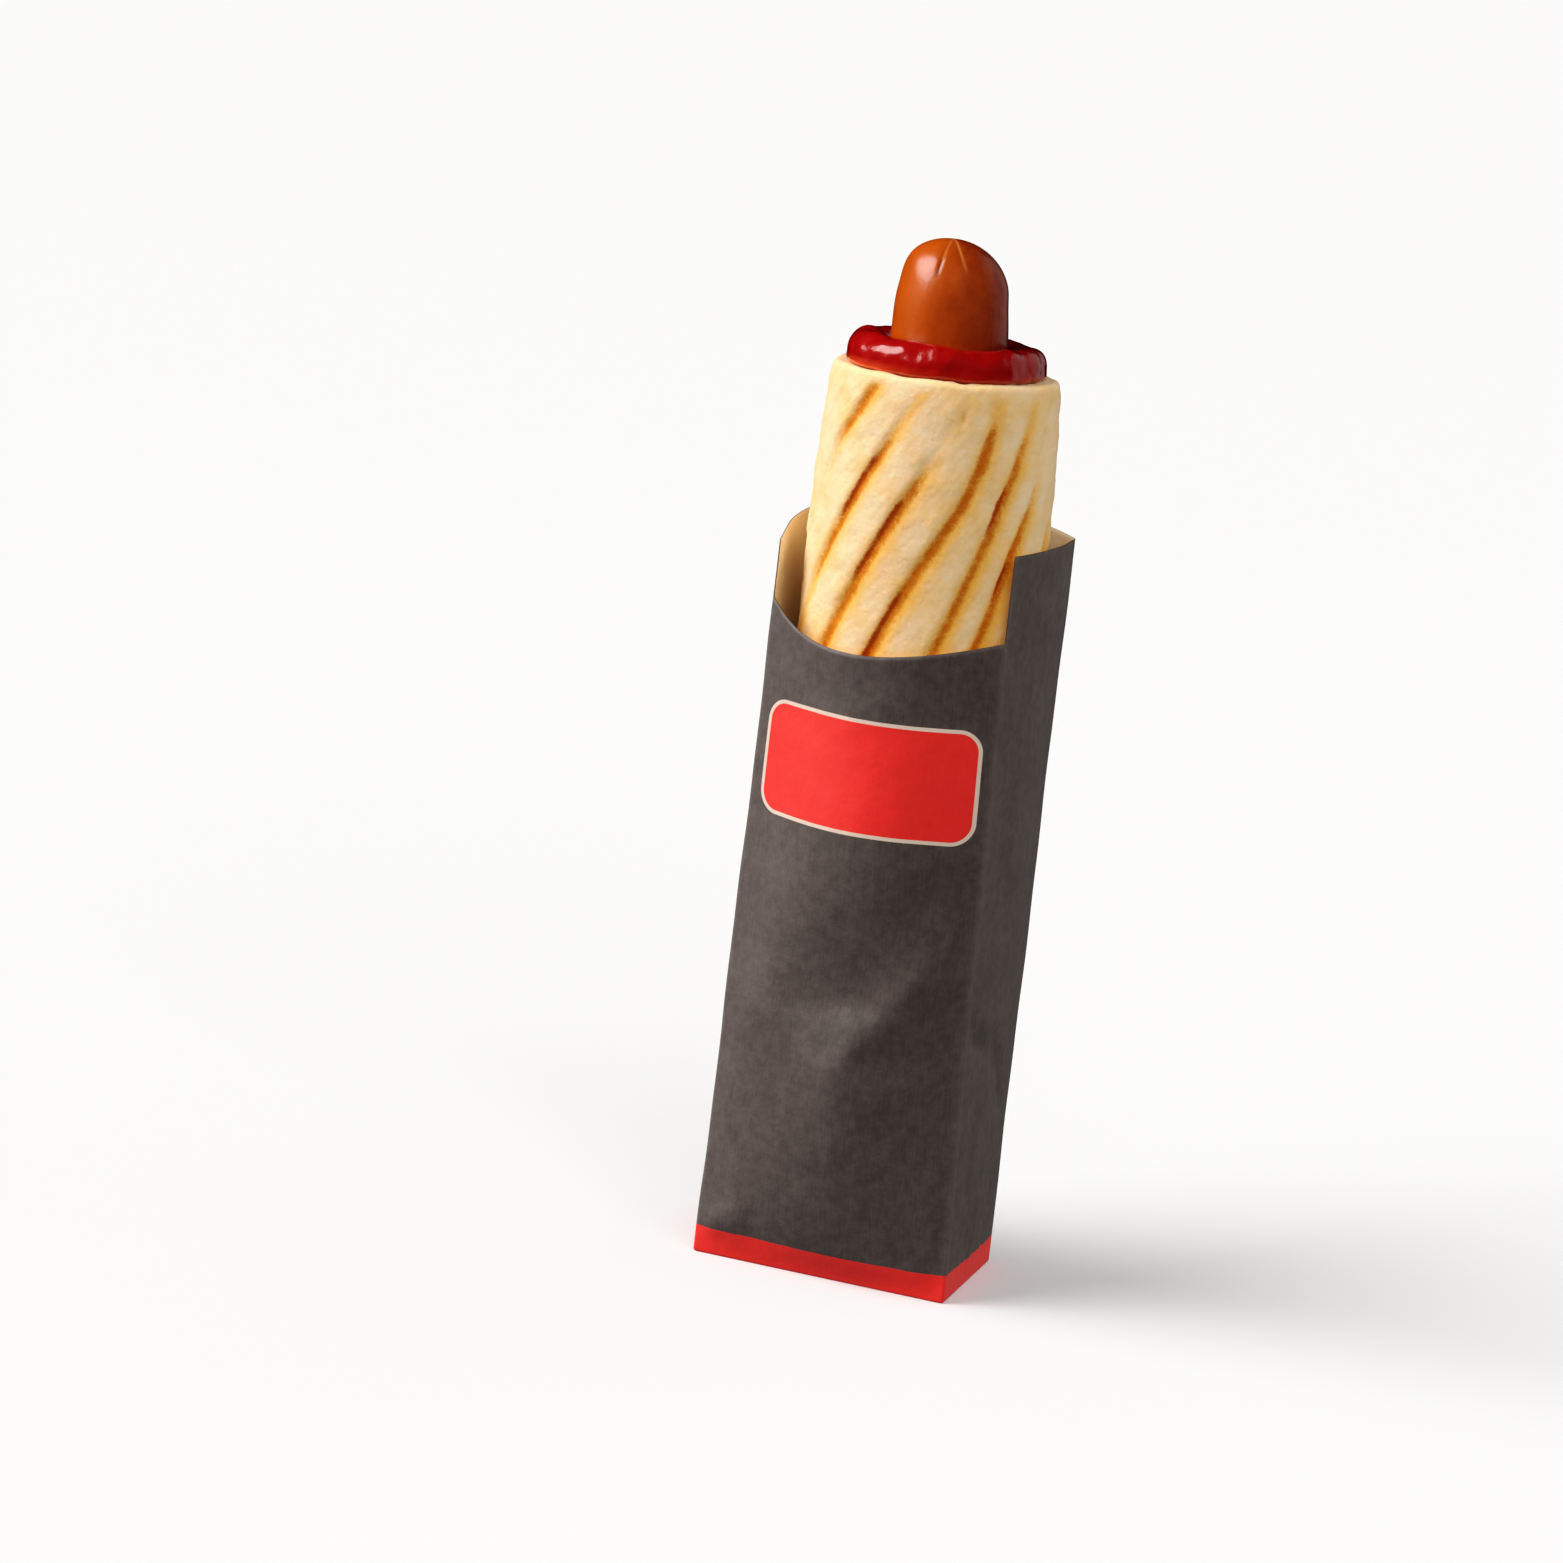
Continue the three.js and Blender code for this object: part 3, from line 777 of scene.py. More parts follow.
    def narrowing(self, swell: Array, width: float) -> Array:
        """How much narrower a bulging panel stands, so that it keeps its own width."""
        return (width - np.sqrt(width**2 - (np.pi * swell) ** 2)) / 2.0

    def crease(self, number: int, height: Array) -> Array:
        """Plan place of a crease; crease n starts panel n and ends the panel before it.

        Args:
            number: 0 front right, 1 back right, 2 back left, 3 front left.
            height: heights in millimetres.

        Returns:
            xy of the crease at each height. The front ones step back by the setback, and each side panel
            keeps its width, so a back crease lies where a circle of that width round its front one says.
        """
        share, width, depth = self.share(height), self.width(Panel.FRONT), self.width(Panel.RIGHT)
        front = self.narrowing(self.swells[Panel.FRONT.value] * share, width)
        back = self.narrowing(self.swells[Panel.BACK.value] * share, width)
        right_side = number in (Panel.RIGHT.value, Panel.BACK.value)
        part = self.right_share if right_side else 1.0 - self.right_share
        side = 1.0 if right_side else -1.0
        x_front = side * (width / 2.0 - part * front)
        y_front = -depth / 2.0 + self.setback * height / self.mouth
        waves = (size * np.sin(height / length + step * number) for size, length, step in self.crease_waves)
        wobble = sum(waves) * smoothstep(height, *self.crease_fade)
        if number in (Panel.RIGHT.value, Panel.FRONT.value):
            return np.stack([x_front + wobble, y_front + self.crease_depth * wobble], -1)
        x_back = side * (width / 2.0 - back / 2.0)
        y_back = y_front + np.sqrt(depth**2 - (x_back - x_front) ** 2)
        return np.stack([x_back + wobble, y_back], -1)

    def on_panel(self, panel: Panel, share: Array, height: Array) -> Array:
        """Place on a panel with sharp creases.

        Args:
            panel: the panel.
            share: places across it, as shares of its width.
            height: heights.

        Returns:
            xyz on the line between its creases, moved out by its swell times sin(pi share) and by its relief.
        """
        start = self.crease(panel.value, height)
        along = self.crease((panel.value + 1) % len(Panel), height) - start
        outward = np.stack([along[..., 1], -along[..., 0]], -1)
        outward /= np.linalg.norm(outward, axis=-1, keepdims=True)
        bulge = self.swells[panel.value] * self.share(height) * np.sin(np.pi * share)
        bulge = bulge + self.relief(panel, share, height)
        plan = start + along * share[..., None] + outward * bulge[..., None]
        return np.concatenate([plan, np.broadcast_to(height, share.shape)[..., None]], -1)

    def relief(self, panel: Panel, share: Array, height: Array) -> Array:
        """Dents, slow waves and the foot's upright crinkles, all fading out towards the creases and the foot.

        Args:
            panel: the panel.
            share: places across it, as shares of its width.
            height: heights.

        Returns:
            How far out each place is moved.
        """
        width = self.width(panel)
        across = share * width
        away = np.minimum(across, width - across)
        dents = sum(dent.at(across, height) for dent in self.dents if dent.panel is panel)
        place = np.stack([across, height, np.full(across.shape, self.ripple_gap * panel.value)], -1)
        waves = summed(self.waves, place)
        if panel in (Panel.RIGHT, Panel.LEFT):
            waves = waves + self.crinkle_height * bell(height, *self.crinkle_place) * self.crinkles.at(place)
        return (dents + waves) * smoothstep(away, *self.side_fade) * smoothstep(height, *self.foot_fade)

    def surface(self, panel: Panel, share: Array, height: Array) -> Array:
        """Place on the outside, with the creases rounded.

        Near a crease the place follows the parabola that touches both panels one radius away from it,
        (1-s)^2 A + 2s(1-s) C + s^2 B, and near the foot the plan shrinks along a quarter circle.

        Args:
            panel: the panel.
            share: places across it, as shares of its width.
            height: heights.

        Returns:
            xyz of each place.
        """
        share, height = np.broadcast_arrays(np.asarray(share, float), np.asarray(height, float))
        plan = self.on_panel(panel, share, height)
        width, radius = self.width(panel), self.crease_radius
        sides = ((panel.value, share * width, -1), (panel.value + 1, (1.0 - share) * width, 1))
        for number, here, there in sides:
            other = Panel((panel.value + there) % len(Panel))
            corner = plan.copy()
            corner[..., :2] = self.crease(number % len(Panel), height)
            own = np.full(share.shape, radius / width if there < 0 else 1.0 - radius / width)
            far = radius / self.width(other)
            off = np.full(share.shape, 1.0 - far if there < 0 else far)
            near_point, far_point = self.on_panel(panel, own, height), self.on_panel(other, off, height)
            s = (0.5 + 0.5 * np.clip(here / radius, 0.0, 1.0))[..., None]
            bend = (1.0 - s) ** 2 * far_point + 2.0 * s * (1.0 - s) * corner + s**2 * near_point
            plan = np.where((here < radius)[..., None], bend, plan)
        low = np.clip(1.0 - height / self.foot_radius, 0.0, 1.0)
        inset = self.foot_radius * (1.0 - np.sqrt(1.0 - low**2))
        plan[..., :2] *= (1.0 - inset / self.foot_half)[..., None]
        return plan

    def scoop(self, x: Array) -> Array:
        """Height of the scooped edge: a power curve on each side of the lowest place.

        Args:
            x: places from left to right.

        Returns:
            The edge's height at each.
        """
        low_x, low_z = self.scoop_lowest
        sides = []
        for end_x, end_z, power in (self.scoop_left, self.scoop_right):
            share = np.abs((x - low_x) / (end_x - low_x))
            sides.append(low_z + (end_z - low_z) * share**power)
        return np.where(x < low_x, sides[0], sides[1])

    def shares(self, panel: Panel) -> Array:
        """Columns across a panel, close together in the rounded creases.

        Args:
            panel: the panel.

        Returns:
            The columns as shares of its width.
        """
        width = self.width(panel)
        near = np.array(self.crease_columns) * self.crease_radius
        count = round((width - 2 * near[-1]) / self.column_step) + 1
        middle = np.linspace(near[-1], width - near[-1], count)
        return np.concatenate([near[:-1], middle, (width - near[:-1])[::-1]]) / width

    def waist(self, panel: Panel, share: Array) -> Array:
        """Height up to which the sleeve goes all round.

        Args:
            panel: the panel.
            share: places across it, as shares of its width.

        Returns:
            The scooped edge in front, and elsewhere a line level with that edge's ends.
        """
        right = float(self.scoop(self.crease(Panel.RIGHT.value, np.array(self.scoop_right[1]))[0]))
        left = float(self.scoop(self.crease(Panel.FRONT.value, np.array(self.scoop_left[1]))[0]))
        if panel is Panel.FRONT:
            first = self.crease(Panel.FRONT.value, np.array(left))
            last = self.crease(Panel.RIGHT.value, np.array(right))
            edge = self.scoop(first[0] + (last[0] - first[0]) * share)
            edge[0], edge[-1] = left, right
            return edge
        start, end = {Panel.RIGHT: (right, right), Panel.BACK: (right, left), Panel.LEFT: (left, left)}[panel]
        return start + (end - start) * share

    def top(self, panel: Panel, share: Array) -> Array:
        """Height of the cut top edge of the side and back panels.

        Args:
            panel: the panel.
            share: places across it, as shares of its width.

        Returns:
            A straight line on the right, a crown 1 - |2s - 1|^p on the back, and a line that a power of the
            share rounds off on the left.
        """
        if panel is Panel.RIGHT:
            return self.right_edge + (self.back_edge - self.right_edge) * share
        if panel is Panel.BACK:
            return self.back_edge + self.back_crown * (1.0 - np.abs(2.0 * share - 1.0) ** self.crown_power)
        straight = self.back_edge + (self.left_edge + self.left_rounding - self.back_edge) * share
        return straight - self.left_rounding * share**self.rounding_power

    def wall(self, panel: Panel) -> list[Patch]:
        """Patches of a panel: up to the waist, and above it where the panel goes on.

        Args:
            panel: the panel.

        Returns:
            One patch for the front panel and two for each other one.
        """
        share = self.shares(panel)
        foot = np.array(self.foot_rows) / self.mouth
        count = round(self.mouth / self.row_step) + 1
        rise = np.concatenate([foot[:-1], np.linspace(foot[-1], 1.0, count)])
        waist = self.waist(panel, share)
        grids = [waist[None, :] * rise[:, None]]
        if panel is not Panel.FRONT:
            more = np.linspace(0.0, 1.0, self.upper_rows)[:, None]
            grids.append(waist[None, :] + (self.top(panel, share) - waist)[None, :] * more)
        width, patches = self.width(panel), []
        for height in grids:
            columns = np.broadcast_to(share[None, :], height.shape)
            across = columns * width
            uv = np.stack([self.flat_start(panel) + across, height], -1)
            worn = bell(np.minimum(across, width - across), 0.0, self.worn_half)
            patches.append(Patch(self.surface(panel, columns, height), uv, {"worn": worn}))
        return patches

    def bottom(self) -> Patch:
        """The folded bottom: a grid between the feet of the four panels, ruled both ways, less the corners.

        A row goes from the left foot to the right one, and the folds press it up.

        Returns:
            The patch, which faces down.
        """
        share = self.shares(Panel.FRONT)
        side = self.shares(Panel.RIGHT)
        front = self.surface(Panel.FRONT, share, np.zeros(share.shape))
        back = self.surface(Panel.BACK, share, np.zeros(share.shape))[::-1]
        right = self.surface(Panel.RIGHT, side, np.zeros(side.shape))
        left = self.surface(Panel.LEFT, side, np.zeros(side.shape))[::-1]
        u, v = share[None, :, None], side[:, None, None]
        ruled = (1 - v) * front[None] + v * back[None] + (1 - u) * left[:, None] + u * right[:, None]
        corners = (1 - v) * ((1 - u) * front[0] + u * front[-1]) + v * ((1 - u) * back[0] + u * back[-1])
        points = ruled - corners
        x, y = points[..., 0], points[..., 1]
        half_width, half_depth = self.width(Panel.FRONT) / 2.0, self.width(Panel.RIGHT) / 2.0
        rim = np.minimum(half_width - np.abs(x), half_depth - np.abs(y))
        points[..., 2], worn = self.folds.relief(x, y, rim)
        uv = np.stack([x + half_width, y + half_depth - self.bottom_shift], -1)
        return Patch(points[::-1], uv[::-1], {"worn": worn[::-1]})

    def seam(self, finish: bpy.types.Material) -> bpy.types.Object:
        """The glued back seam: a strip 11 mm wide that lies on the back panel, from the foot to the top edge.

        Args:
            finish: the printed paper.

        Returns:
            The piece.
        """
        strip = self.strip
        share = np.linspace(strip.left[0], strip.right[0], strip.columns)
        height = self.top(Panel.BACK, share)[None, :] * np.linspace(*strip.rise, strip.rows)[:, None]
        columns = np.broadcast_to(share[None, :], height.shape)
        points = self.surface(Panel.BACK, columns, height)
        full = strip.thickness * smoothstep(columns, *strip.left) * smoothstep(columns, *strip.right)
        points[..., 1] += strip.clearance + full
        across = self.flat_start(Panel.BACK) + columns * self.width(Panel.BACK)
        strength, half = strip.worn
        worn = strength * (bell(columns, strip.left[0], half) + bell(columns, strip.right[0], half))
        patch = Patch(points, np.stack([across, height], -1), {"worn": worn})
        return assemble("back_seam", [patch], [finish])

    def build(self) -> list[bpy.types.Object]:
        """Makes the sleeve and its seam, and hands them over.

        Returns:
            Both pieces.
        """
        printed = PrintedPaper().make()
        kraft = BareKraft().make()
        cut = BareKraft("cut_edge", self.cut_light, self.cut_dark).make()
        patches = [patch for panel in Panel for patch in self.wall(panel)]
        shell = assemble("paper_sleeve", patches + [self.bottom()], [printed, kraft, cut])
        wall = shell.modifiers.new("paper", "SOLIDIFY")
        wall.thickness = self.thickness * MM
        wall.offset = -1.0
        wall.material_offset = 1
        wall.material_offset_rim = 2
        wall.use_even_offset = True
        hand_over(shell, Slot.PAPER, "sleeve")
        seam = self.seam(printed)
        hand_over(seam, Slot.PAPER)
        return [shell, seam]


# ---- The roll ----


@dataclass(frozen=True)
class GrillMark:
    """What the grill did to one groove.

    Attributes:
        groove: the groove's number.
        start: height at which the caramel colour begins.
        full: height below which it has its full strength.
        end: height below which it has faded out again.
        brown: strength of the caramel colour.
        core: lowest and highest heights of a scorched core.
        half: half-width of the mark.
        pale: strength of the honey colour above the start.
        end_fade: height over which the lower end fades.
        core_fade: how far outside and inside its heights the core fades.
    """

    groove: int
    start: float
    full: float
    end: float = 0.0
    brown: float = 0.85
    core: Pair = (0.0, 0.0)
    half: float = 1.5
    pale: float = 0.3
    end_fade: float = 14.0
    core_fade: Pair = (4.0, 3.0)

    def strength(self, height: Array) -> Array:
        """Strength of the mark at a height: a smooth rise below its start and a smooth end."""
        grown = smoothstep(height, self.start, self.full)
        return grown * smoothstep(height, self.end, self.end + self.end_fade) if self.end > 0 else grown

    def scorch(self, height: Array) -> Array:
        """Strength of the scorched core.

        Args:
            height: heights in millimetres.

        Returns:
            1 inside the core's heights with a smooth fade at both ends, or 0 where there is no core.
        """
        low, high = self.core
        if high <= low:
            return np.zeros(np.shape(height))
        outside, inside = self.core_fade
        lower = smoothstep(height, low - outside, low + inside)
        return lower * smoothstep(height, high + outside, high - inside)


@dataclass(frozen=True)
class Groove:
    """Cross-section of a groove; distances run along the skin to the right of the groove's line."""

    trough: float = -0.4  # distance of the trough's deepest place
    trough_halves: Pair = (0.95, 2.1)  # half its width on the left and on the right of there
    unmarked: float = 0.24  # share of the depth that is left where there is no mark
    mark: float = 0.1  # distance of the mark's middle
    mark_left: float = 0.85  # its half-width on the left, as a share of the one on the right
    mark_power: float = 2.2  # power by which the mark falls off
    least_half: float = 0.5  # share of a mark's half-width that it has before it starts
    rim: float = 0.7  # distance of the toasted rim's middle
    rim_half: Pair = (0.8, 1.35)  # half its width, plain and for each millimetre of the mark's half-width
    rim_strength: float = 0.84  # its strength
    core: float = -0.65  # distance of the scorched core's middle
    core_half: float = 0.78  # half its width

    def section(self, mark: GrillMark, distance: Array, height: Array) -> dict[str, Array]:
        """What one groove adds to the skin beside it.

        Args:
            mark: what the grill did to the groove.
            distance: distances from its line.
            height: heights.

        Returns:
            By name: the share of the groove's depth, a bell; the caramel colour, a flatter bell; the toasted
            rim, a wide bell; and the scorched core, a narrow one.
        """
        grown, burnt = mark.strength(height), mark.scorch(height)
        wide = mark.half * (self.least_half + (1.0 - self.least_half) * grown)
        side = np.where(distance > self.mark, 1.0, self.mark_left)
        body = np.exp(-np.abs((distance - self.mark) / (wide * side)) ** self.mark_power)
        plain, growing = self.rim_half
        halo = bell(distance, self.rim, plain + growing * wide)
        toasted = mark.pale + (1.0 - mark.pale) * grown**0.5
        trough = bell(distance, self.trough, np.where(distance < self.trough, *self.trough_halves))
        return {
            "near": trough * (self.unmarked + (1.0 - self.unmarked) * grown),
            "mark": mark.brown * grown * body,
            "toast": self.rim_strength * toasted * halo,
            "core": burnt * bell(distance, self.core, self.core_half),
        }


@dataclass(frozen=True)
class Bend:
    """A groove's departure from its helix: amount degrees at a height, fading over a half-length."""

    groove: int
    height: float
    amount: float
    half: float


@dataclass(frozen=True)
class Crust:
    """Soft pale crust with honey-coloured toasting, caramel marks and scorched cores.

    Tones and fades are the values between which a colour comes in, and crumb_tones adds how far. reaches
    says how far blotches, crumbs and specks swing, and crumbs_in_grain how much the crumbs add to the
    specks. An edge gives the weights of what breaks up a painted strength, crumbs for the toasting and
    blotches and grain for the others, and then the range over which the result comes in. pores counts
    them in a metre, and the relief's weights are those of crumbs and pores.
    """

    cream: Colour = (0.96, 0.71, 0.435)
    straw: Colour = (0.95, 0.62, 0.28)
    honey: Colour = (0.92, 0.47, 0.085)
    caramel: Colour = (0.60, 0.168, 0.010)
    scorched: Colour = (0.42, 0.076, 0.005)
    clouds: Speckle = Speckle(130.0, 3.0, 0.55)
    blotches: Speckle = Speckle(330.0)
    crumbs: Speckle = Speckle(900.0, 4.0, 0.65)
    specks: Speckle = Speckle(2100.0, 2.0, 0.6)
    cloud_tones: Pair = (0.35, 0.72)
    crumb_tones: Triple = (0.40, 0.72, 0.35)
    reaches: Triple = (1.2, 1.3, 1.1)
    crumbs_in_grain: float = 0.7
    toast_edge: Triple = (0.16, 0.05, 1.05)
    mark_edge: Four = (0.22, 0.26, 0.20, 0.95)
    mark_fade: Pair = (0.02, 0.25)
    core_edge: Four = (0.3, 0.26, 0.15, 0.95)
    core_fade: Pair = (0.02, 0.3)
    pores: float = 620.0
    pore_rim: Pair = (0.05, 0.42)
    relief_weights: Pair = (0.8, 0.35)
    rough: Relief = Relief(0.00022, 0.6)
    soft: Relief = Relief(0.0010, 0.3)
    roughness: float = 0.62
    gloss: float = 0.2
    glow: float = 0.25
    glow_colours: Colour = (1.0, 0.55, 0.25)
    glow_scale: float = 0.004

    def make(self) -> bpy.types.Material:
        """Builds the crust: painted strengths, broken up by noise, choose between its five colours.

        Returns:
            The material.
        """
        finish = Finish("grilled_crust")
        clouds, crumbs = finish.noise(self.clouds), finish.noise(self.crumbs)
        toast, mark, core = (finish.painted(name) for name in ("toast", "mark", "core"))
        base = finish.mix(finish.ramp(clouds, *self.cloud_tones), self.cream, self.straw)
        base = finish.mix(finish.ramp(crumbs, *self.crumb_tones), base, self.straw)
        blotchy, ragged, speckled = self.reaches
        blotch = finish.swing(finish.noise(self.blotches), blotchy)
        crumbly = finish.swing(crumbs, ragged)
        offset = finish.math("MULTIPLY_ADD", crumbly, self.crumbs_in_grain, -speckled)
        grainy = finish.math("MULTIPLY_ADD", finish.noise(self.specks), 2.0 * speckled, offset)
        weight, low, high = self.toast_edge
        toasted = finish.ramp(finish.math("MULTIPLY_ADD", crumbly, weight, toast), low, high)
        colour = finish.mix(toasted, base, self.honey)
        for value, edge, fade, tone in (
            (mark, self.mark_edge, self.mark_fade, self.caramel),
            (core, self.core_edge, self.core_fade, self.scorched),
        ):
            blotched, grained, low, high = edge
            uneven = finish.math("MULTIPLY_ADD", blotch, blotched, value)
            uneven = finish.math("MULTIPLY_ADD", grainy, grained, uneven)
            share = finish.math("MULTIPLY", finish.ramp(uneven, low, high), finish.ramp(value, *fade))
            colour = finish.mix(share, colour, tone)
        pores = finish.add("TexVoronoi", {"feature": "F1"}, Vector=finish.place(), Scale=self.pores)
        pit = finish.ramp(pores.outputs["Distance"], *self.pore_rim)
        relief = finish.weighted(*zip((crumbs, pit), self.relief_weights))
        soft = finish.bump(clouds, self.soft, finish.bump(relief, self.rough))
        return finish.done(
            Base_Color=colour,
            Roughness=self.roughness,
            Normal=soft,
            Specular_IOR_Level=self.gloss,
            Subsurface_Weight=self.glow,
            Subsurface_Radius=self.glow_colours,
            Subsurface_Scale=self.glow_scale,
        )


@dataclass
class Roll:
    """The grilled roll: an upright rounded cylinder with helical grooves, pillows between them and a bore."""

    centre: Pair = (1.2, -0.7)
    bottom: float = 1.2
    top: float = 208.6
    half_width: float = 27.2
    half_depth: float = 25.2
    taper_start: float = 150.0  # height from which it narrows to the shoulder
    narrowing: float = 1.4  # how much the half-width narrows there, twice as much as the half-depth
    shoulder: float = 1.5  # radius of the shoulder's rounding
    end_length: float = 30.0  # height over which the lower end closes
    end_power: float = 2.4
    # How much the sleeve's foot takes off the half-width and the half-depth, and up to where.
    squeeze: Triple = (2.0, 4.4, 150.0)
    bore: float = 13.25  # radius of the bore
    bore_centre: Pair = (1.0, -1.0)
    bore_bottom: float = 37.0
    bore_edge: float = 0.2  # how far the bore's upper edge lies below the top
    bore_rows: tuple[float, ...] = (1.5, 6.0)  # rows of the bore's wall, counted down from the top
    bore_middle: float = 150.0  # height of a further row of it
    face_rings: int = 12
    grooves: int = 15
    # Departures of single grooves from their even spacing, in degrees.
    offsets: tuple[tuple[int, float], ...] = (
        (0, 0.5),
        (1, -0.3),
        (2, 0.5),
        (3, -5.8),
        (13, -5.0),
        (14, -1.5),
    )
    twist: float = 0.97  # degrees that a groove turns in a millimetre of height
    twist_change: float = 0.3  # how much that varies round the roll
    twist_angle: float = 15.0  # angle at which it is the mean
    stated_at: float = 180.0  # height at which the grooves have their stated angles
    steady_below: float = 145.0  # height below which every groove has the mean twist
    depth: float = 0.70  # depth of a groove under a full mark
    groove: Groove = Groove()
    columns_per_groove: int = 22
    # Rows of the lower end, the hidden part, the shown part and the shoulder.
    rows: tuple[int, int, int, int] = (12, 34, 122, 8)
    shown_above: float = 140.0  # height above which the rows are close
    # Radius by which distances along the skin are counted, as a share of the half-width.
    girth_share: float = 0.88
    groove_fade: Pair = (-1.0, 3.0)  # how far above and below the shoulder the grooves fade
    mark_fade: Pair = (-1.0, 2.5)  # how far above and below the shoulder the marks fade
    lumps: tuple[Ripples, ...] = (Ripples(21, 19.0, 0.09), Ripples(22, 6.0, 0.06))
    crumb: tuple[Ripples, ...] = (Ripples(23, 2.1, 0.028), Ripples(24, 1.2, 0.016))
    crumb_above: float = 20.0  # height from which lumps and crumbs have their full size
    edge_dip: Pair = (0.22, 3.0)  # how much the skin draws in at the rim, and from how far below the shoulder
    rim_dip: float = 0.10  # how far the rim lies below the top
    rim_ripples: Ripples = Ripples(25, 9.0, 0.10)
    face_ripples: Ripples = Ripples(26, 3.5, 0.14)
    pit: Spot = Spot(26.0, 201.0, 1.2, 1.2, 0.8)  # a small hole near the rim
    knob: Spot = Spot(22.0, 203.0, 5.0, 3.0, 0.30)  # a knob beside it
    soft: Spot = Spot(24.0, 196.0, 11.0, 9.0, 0.25)  # a toasted patch below them
    rim_tan: Triple = (0.13, 206.0, 6.0)  # strength, height and half-height of the tan below the rim
    # Strength of the tan further down, and the heights between which it comes in.
    low_tan: Triple = (0.10, 185.0, 165.0)
    marks: tuple[GrillMark, ...] = (
        GrillMark(13, 211.0, 205.0, 184.0, 0.90, (0.0, 0.0), 1.6, 0.35),
        GrillMark(14, 203.0, 190.0, 153.0, 0.90, (176.0, 191.0), 1.4, 0.70),
        GrillMark(0, 194.0, 183.0, 0.0, 0.90, (164.0, 182.0), 1.7, 0.25),
        GrillMark(1, 208.0, 193.0, 0.0, 0.90, (120.0, 161.0), 1.7, 0.35),
        GrillMark(2, 208.0, 190.0, 0.0, 0.80, (176.0, 187.0), 1.45, 0.35),
        GrillMark(3, 194.0, 174.0, 0.0, 0.85, (163.0, 171.0), 1.5, 0.20),
        GrillMark(4, 186.0, 168.0, 0.0, 0.45, (0.0, 0.0), 1.2, 0.05),
        GrillMark(5, 207.0, 195.0, 0.0, 0.85, (168.0, 186.0), 1.6, 0.35),
        GrillMark(6, 198.0, 184.0, 0.0, 0.85, (150.0, 170.0), 1.7, 0.20),
        GrillMark(7, 209.0, 200.0, 158.0, 0.85, (182.0, 196.0), 1.5, 0.35),
        GrillMark(8, 206.0, 192.0, 0.0, 0.90, (160.0, 180.0), 1.7, 0.25),
        GrillMark(9, 202.0, 190.0, 0.0, 0.80, (170.0, 178.0), 1.6, 0.35),
        GrillMark(10, 208.0, 196.0, 0.0, 0.85, (176.0, 190.0), 1.5, 0.30),
        GrillMark(11, 200.0, 186.0, 150.0, 0.75, (168.0, 176.0), 1.5, 0.15),
        GrillMark(12, 178.0, 164.0, 0.0, 0.35, (0.0, 0.0), 1.2, 0.02),
    )
    bends: tuple[Bend, ...] = (
        Bend(1, 184.0, 4.2, 14.0),
        Bend(1, 207.0, -4.0, 7.0),
        Bend(0, 198.0, 1.6, 12.0),
        Bend(13, 193.0, -2.0, 6.0),
        Bend(2, 207.0, -3.2, 6.0),
        Bend(3, 184.0, 2.0, 7.0),
    )

    def start(self, groove: int) -> float:
        """Angle of a groove at the height where the grooves have their stated angles."""
        return 360.0 / self.grooves * groove + dict(self.offsets).get(groove, 0.0)

    def groove_angle(self, groove: int, height: Array) -> Array:
        """Angle of a groove.

        Args:
            groove: its number, which may go on counting on a second lap.
            height: heights in millimetres.

        Returns:
            The angle at each height: its start, a twist that varies round the roll, and its bends.
        """
        lap, number = divmod(groove, self.grooves)
        start = self.start(number)
        twist = self.twist - self.twist_change * math.sin(math.radians(start - self.twist_angle))
        upper = np.maximum(height, self.steady_below) - self.stated_at
        lower = np.minimum(height, self.steady_below) - self.steady_below
        bent = sum(b.amount * bell(height, b.height, b.half) for b in self.bends if b.groove == number)
        return start + 360.0 * lap + twist * upper + self.twist * lower + bent

    def halves(self, height: Array) -> tuple[Array, Array]:
        """Half-width and half-depth of the skin.

        Args:
            height: heights in millimetres.

        Returns:
            Both at each height. A cubic taper to the shoulder and the squeeze of the sleeve's foot come off
            the full size, and the lower end closes along (1 - (1 - s)^p)^(1/p) of the share s of its height.
        """
        shoulder = self.top - self.shoulder
        taper = np.clip((height - self.taper_start) / (shoulder - self.taper_start), 0.0, 1.0) ** 3
        off_width, off_depth, reach = self.squeeze
        squeezed = np.clip(1.0 - height / reach, 0.0, 1.0)
        share = np.clip((height - self.bottom) / self.end_length, 0.0, 1.0)
        end = (1.0 - (1.0 - share) ** self.end_power) ** (1.0 / self.end_power)
        width = self.half_width - self.narrowing * taper - off_width * squeezed
        depth = self.half_depth - 0.5 * self.narrowing * taper - off_depth * squeezed
        return width * end, depth * end

    def levels(self) -> tuple[Array, Array]:
        """Rows of the skin from the bottom pole to the rim, close together where the roll shows.

        Returns:
            The height of each row, and how far the shoulder's quarter circle takes it in.
        """
        end, hidden, shown, rounded = self.rows
        shoulder = self.top - self.shoulder
        low = self.bottom + self.end_length * np.linspace(0.0, 1.0, end) ** 2
        middle = np.linspace(self.bottom + self.end_length, self.shown_above, hidden)[1:]
        high = np.linspace(self.shown_above, shoulder, shown)[1:]
        turn = np.radians(np.linspace(0.0, 90.0, rounded)[1:])
        height = np.concatenate([low, middle, high, shoulder + self.shoulder * np.sin(turn)])
        inset = np.concatenate([np.zeros(len(height) - len(turn)), self.shoulder * (1.0 - np.cos(turn))])
        return height, inset

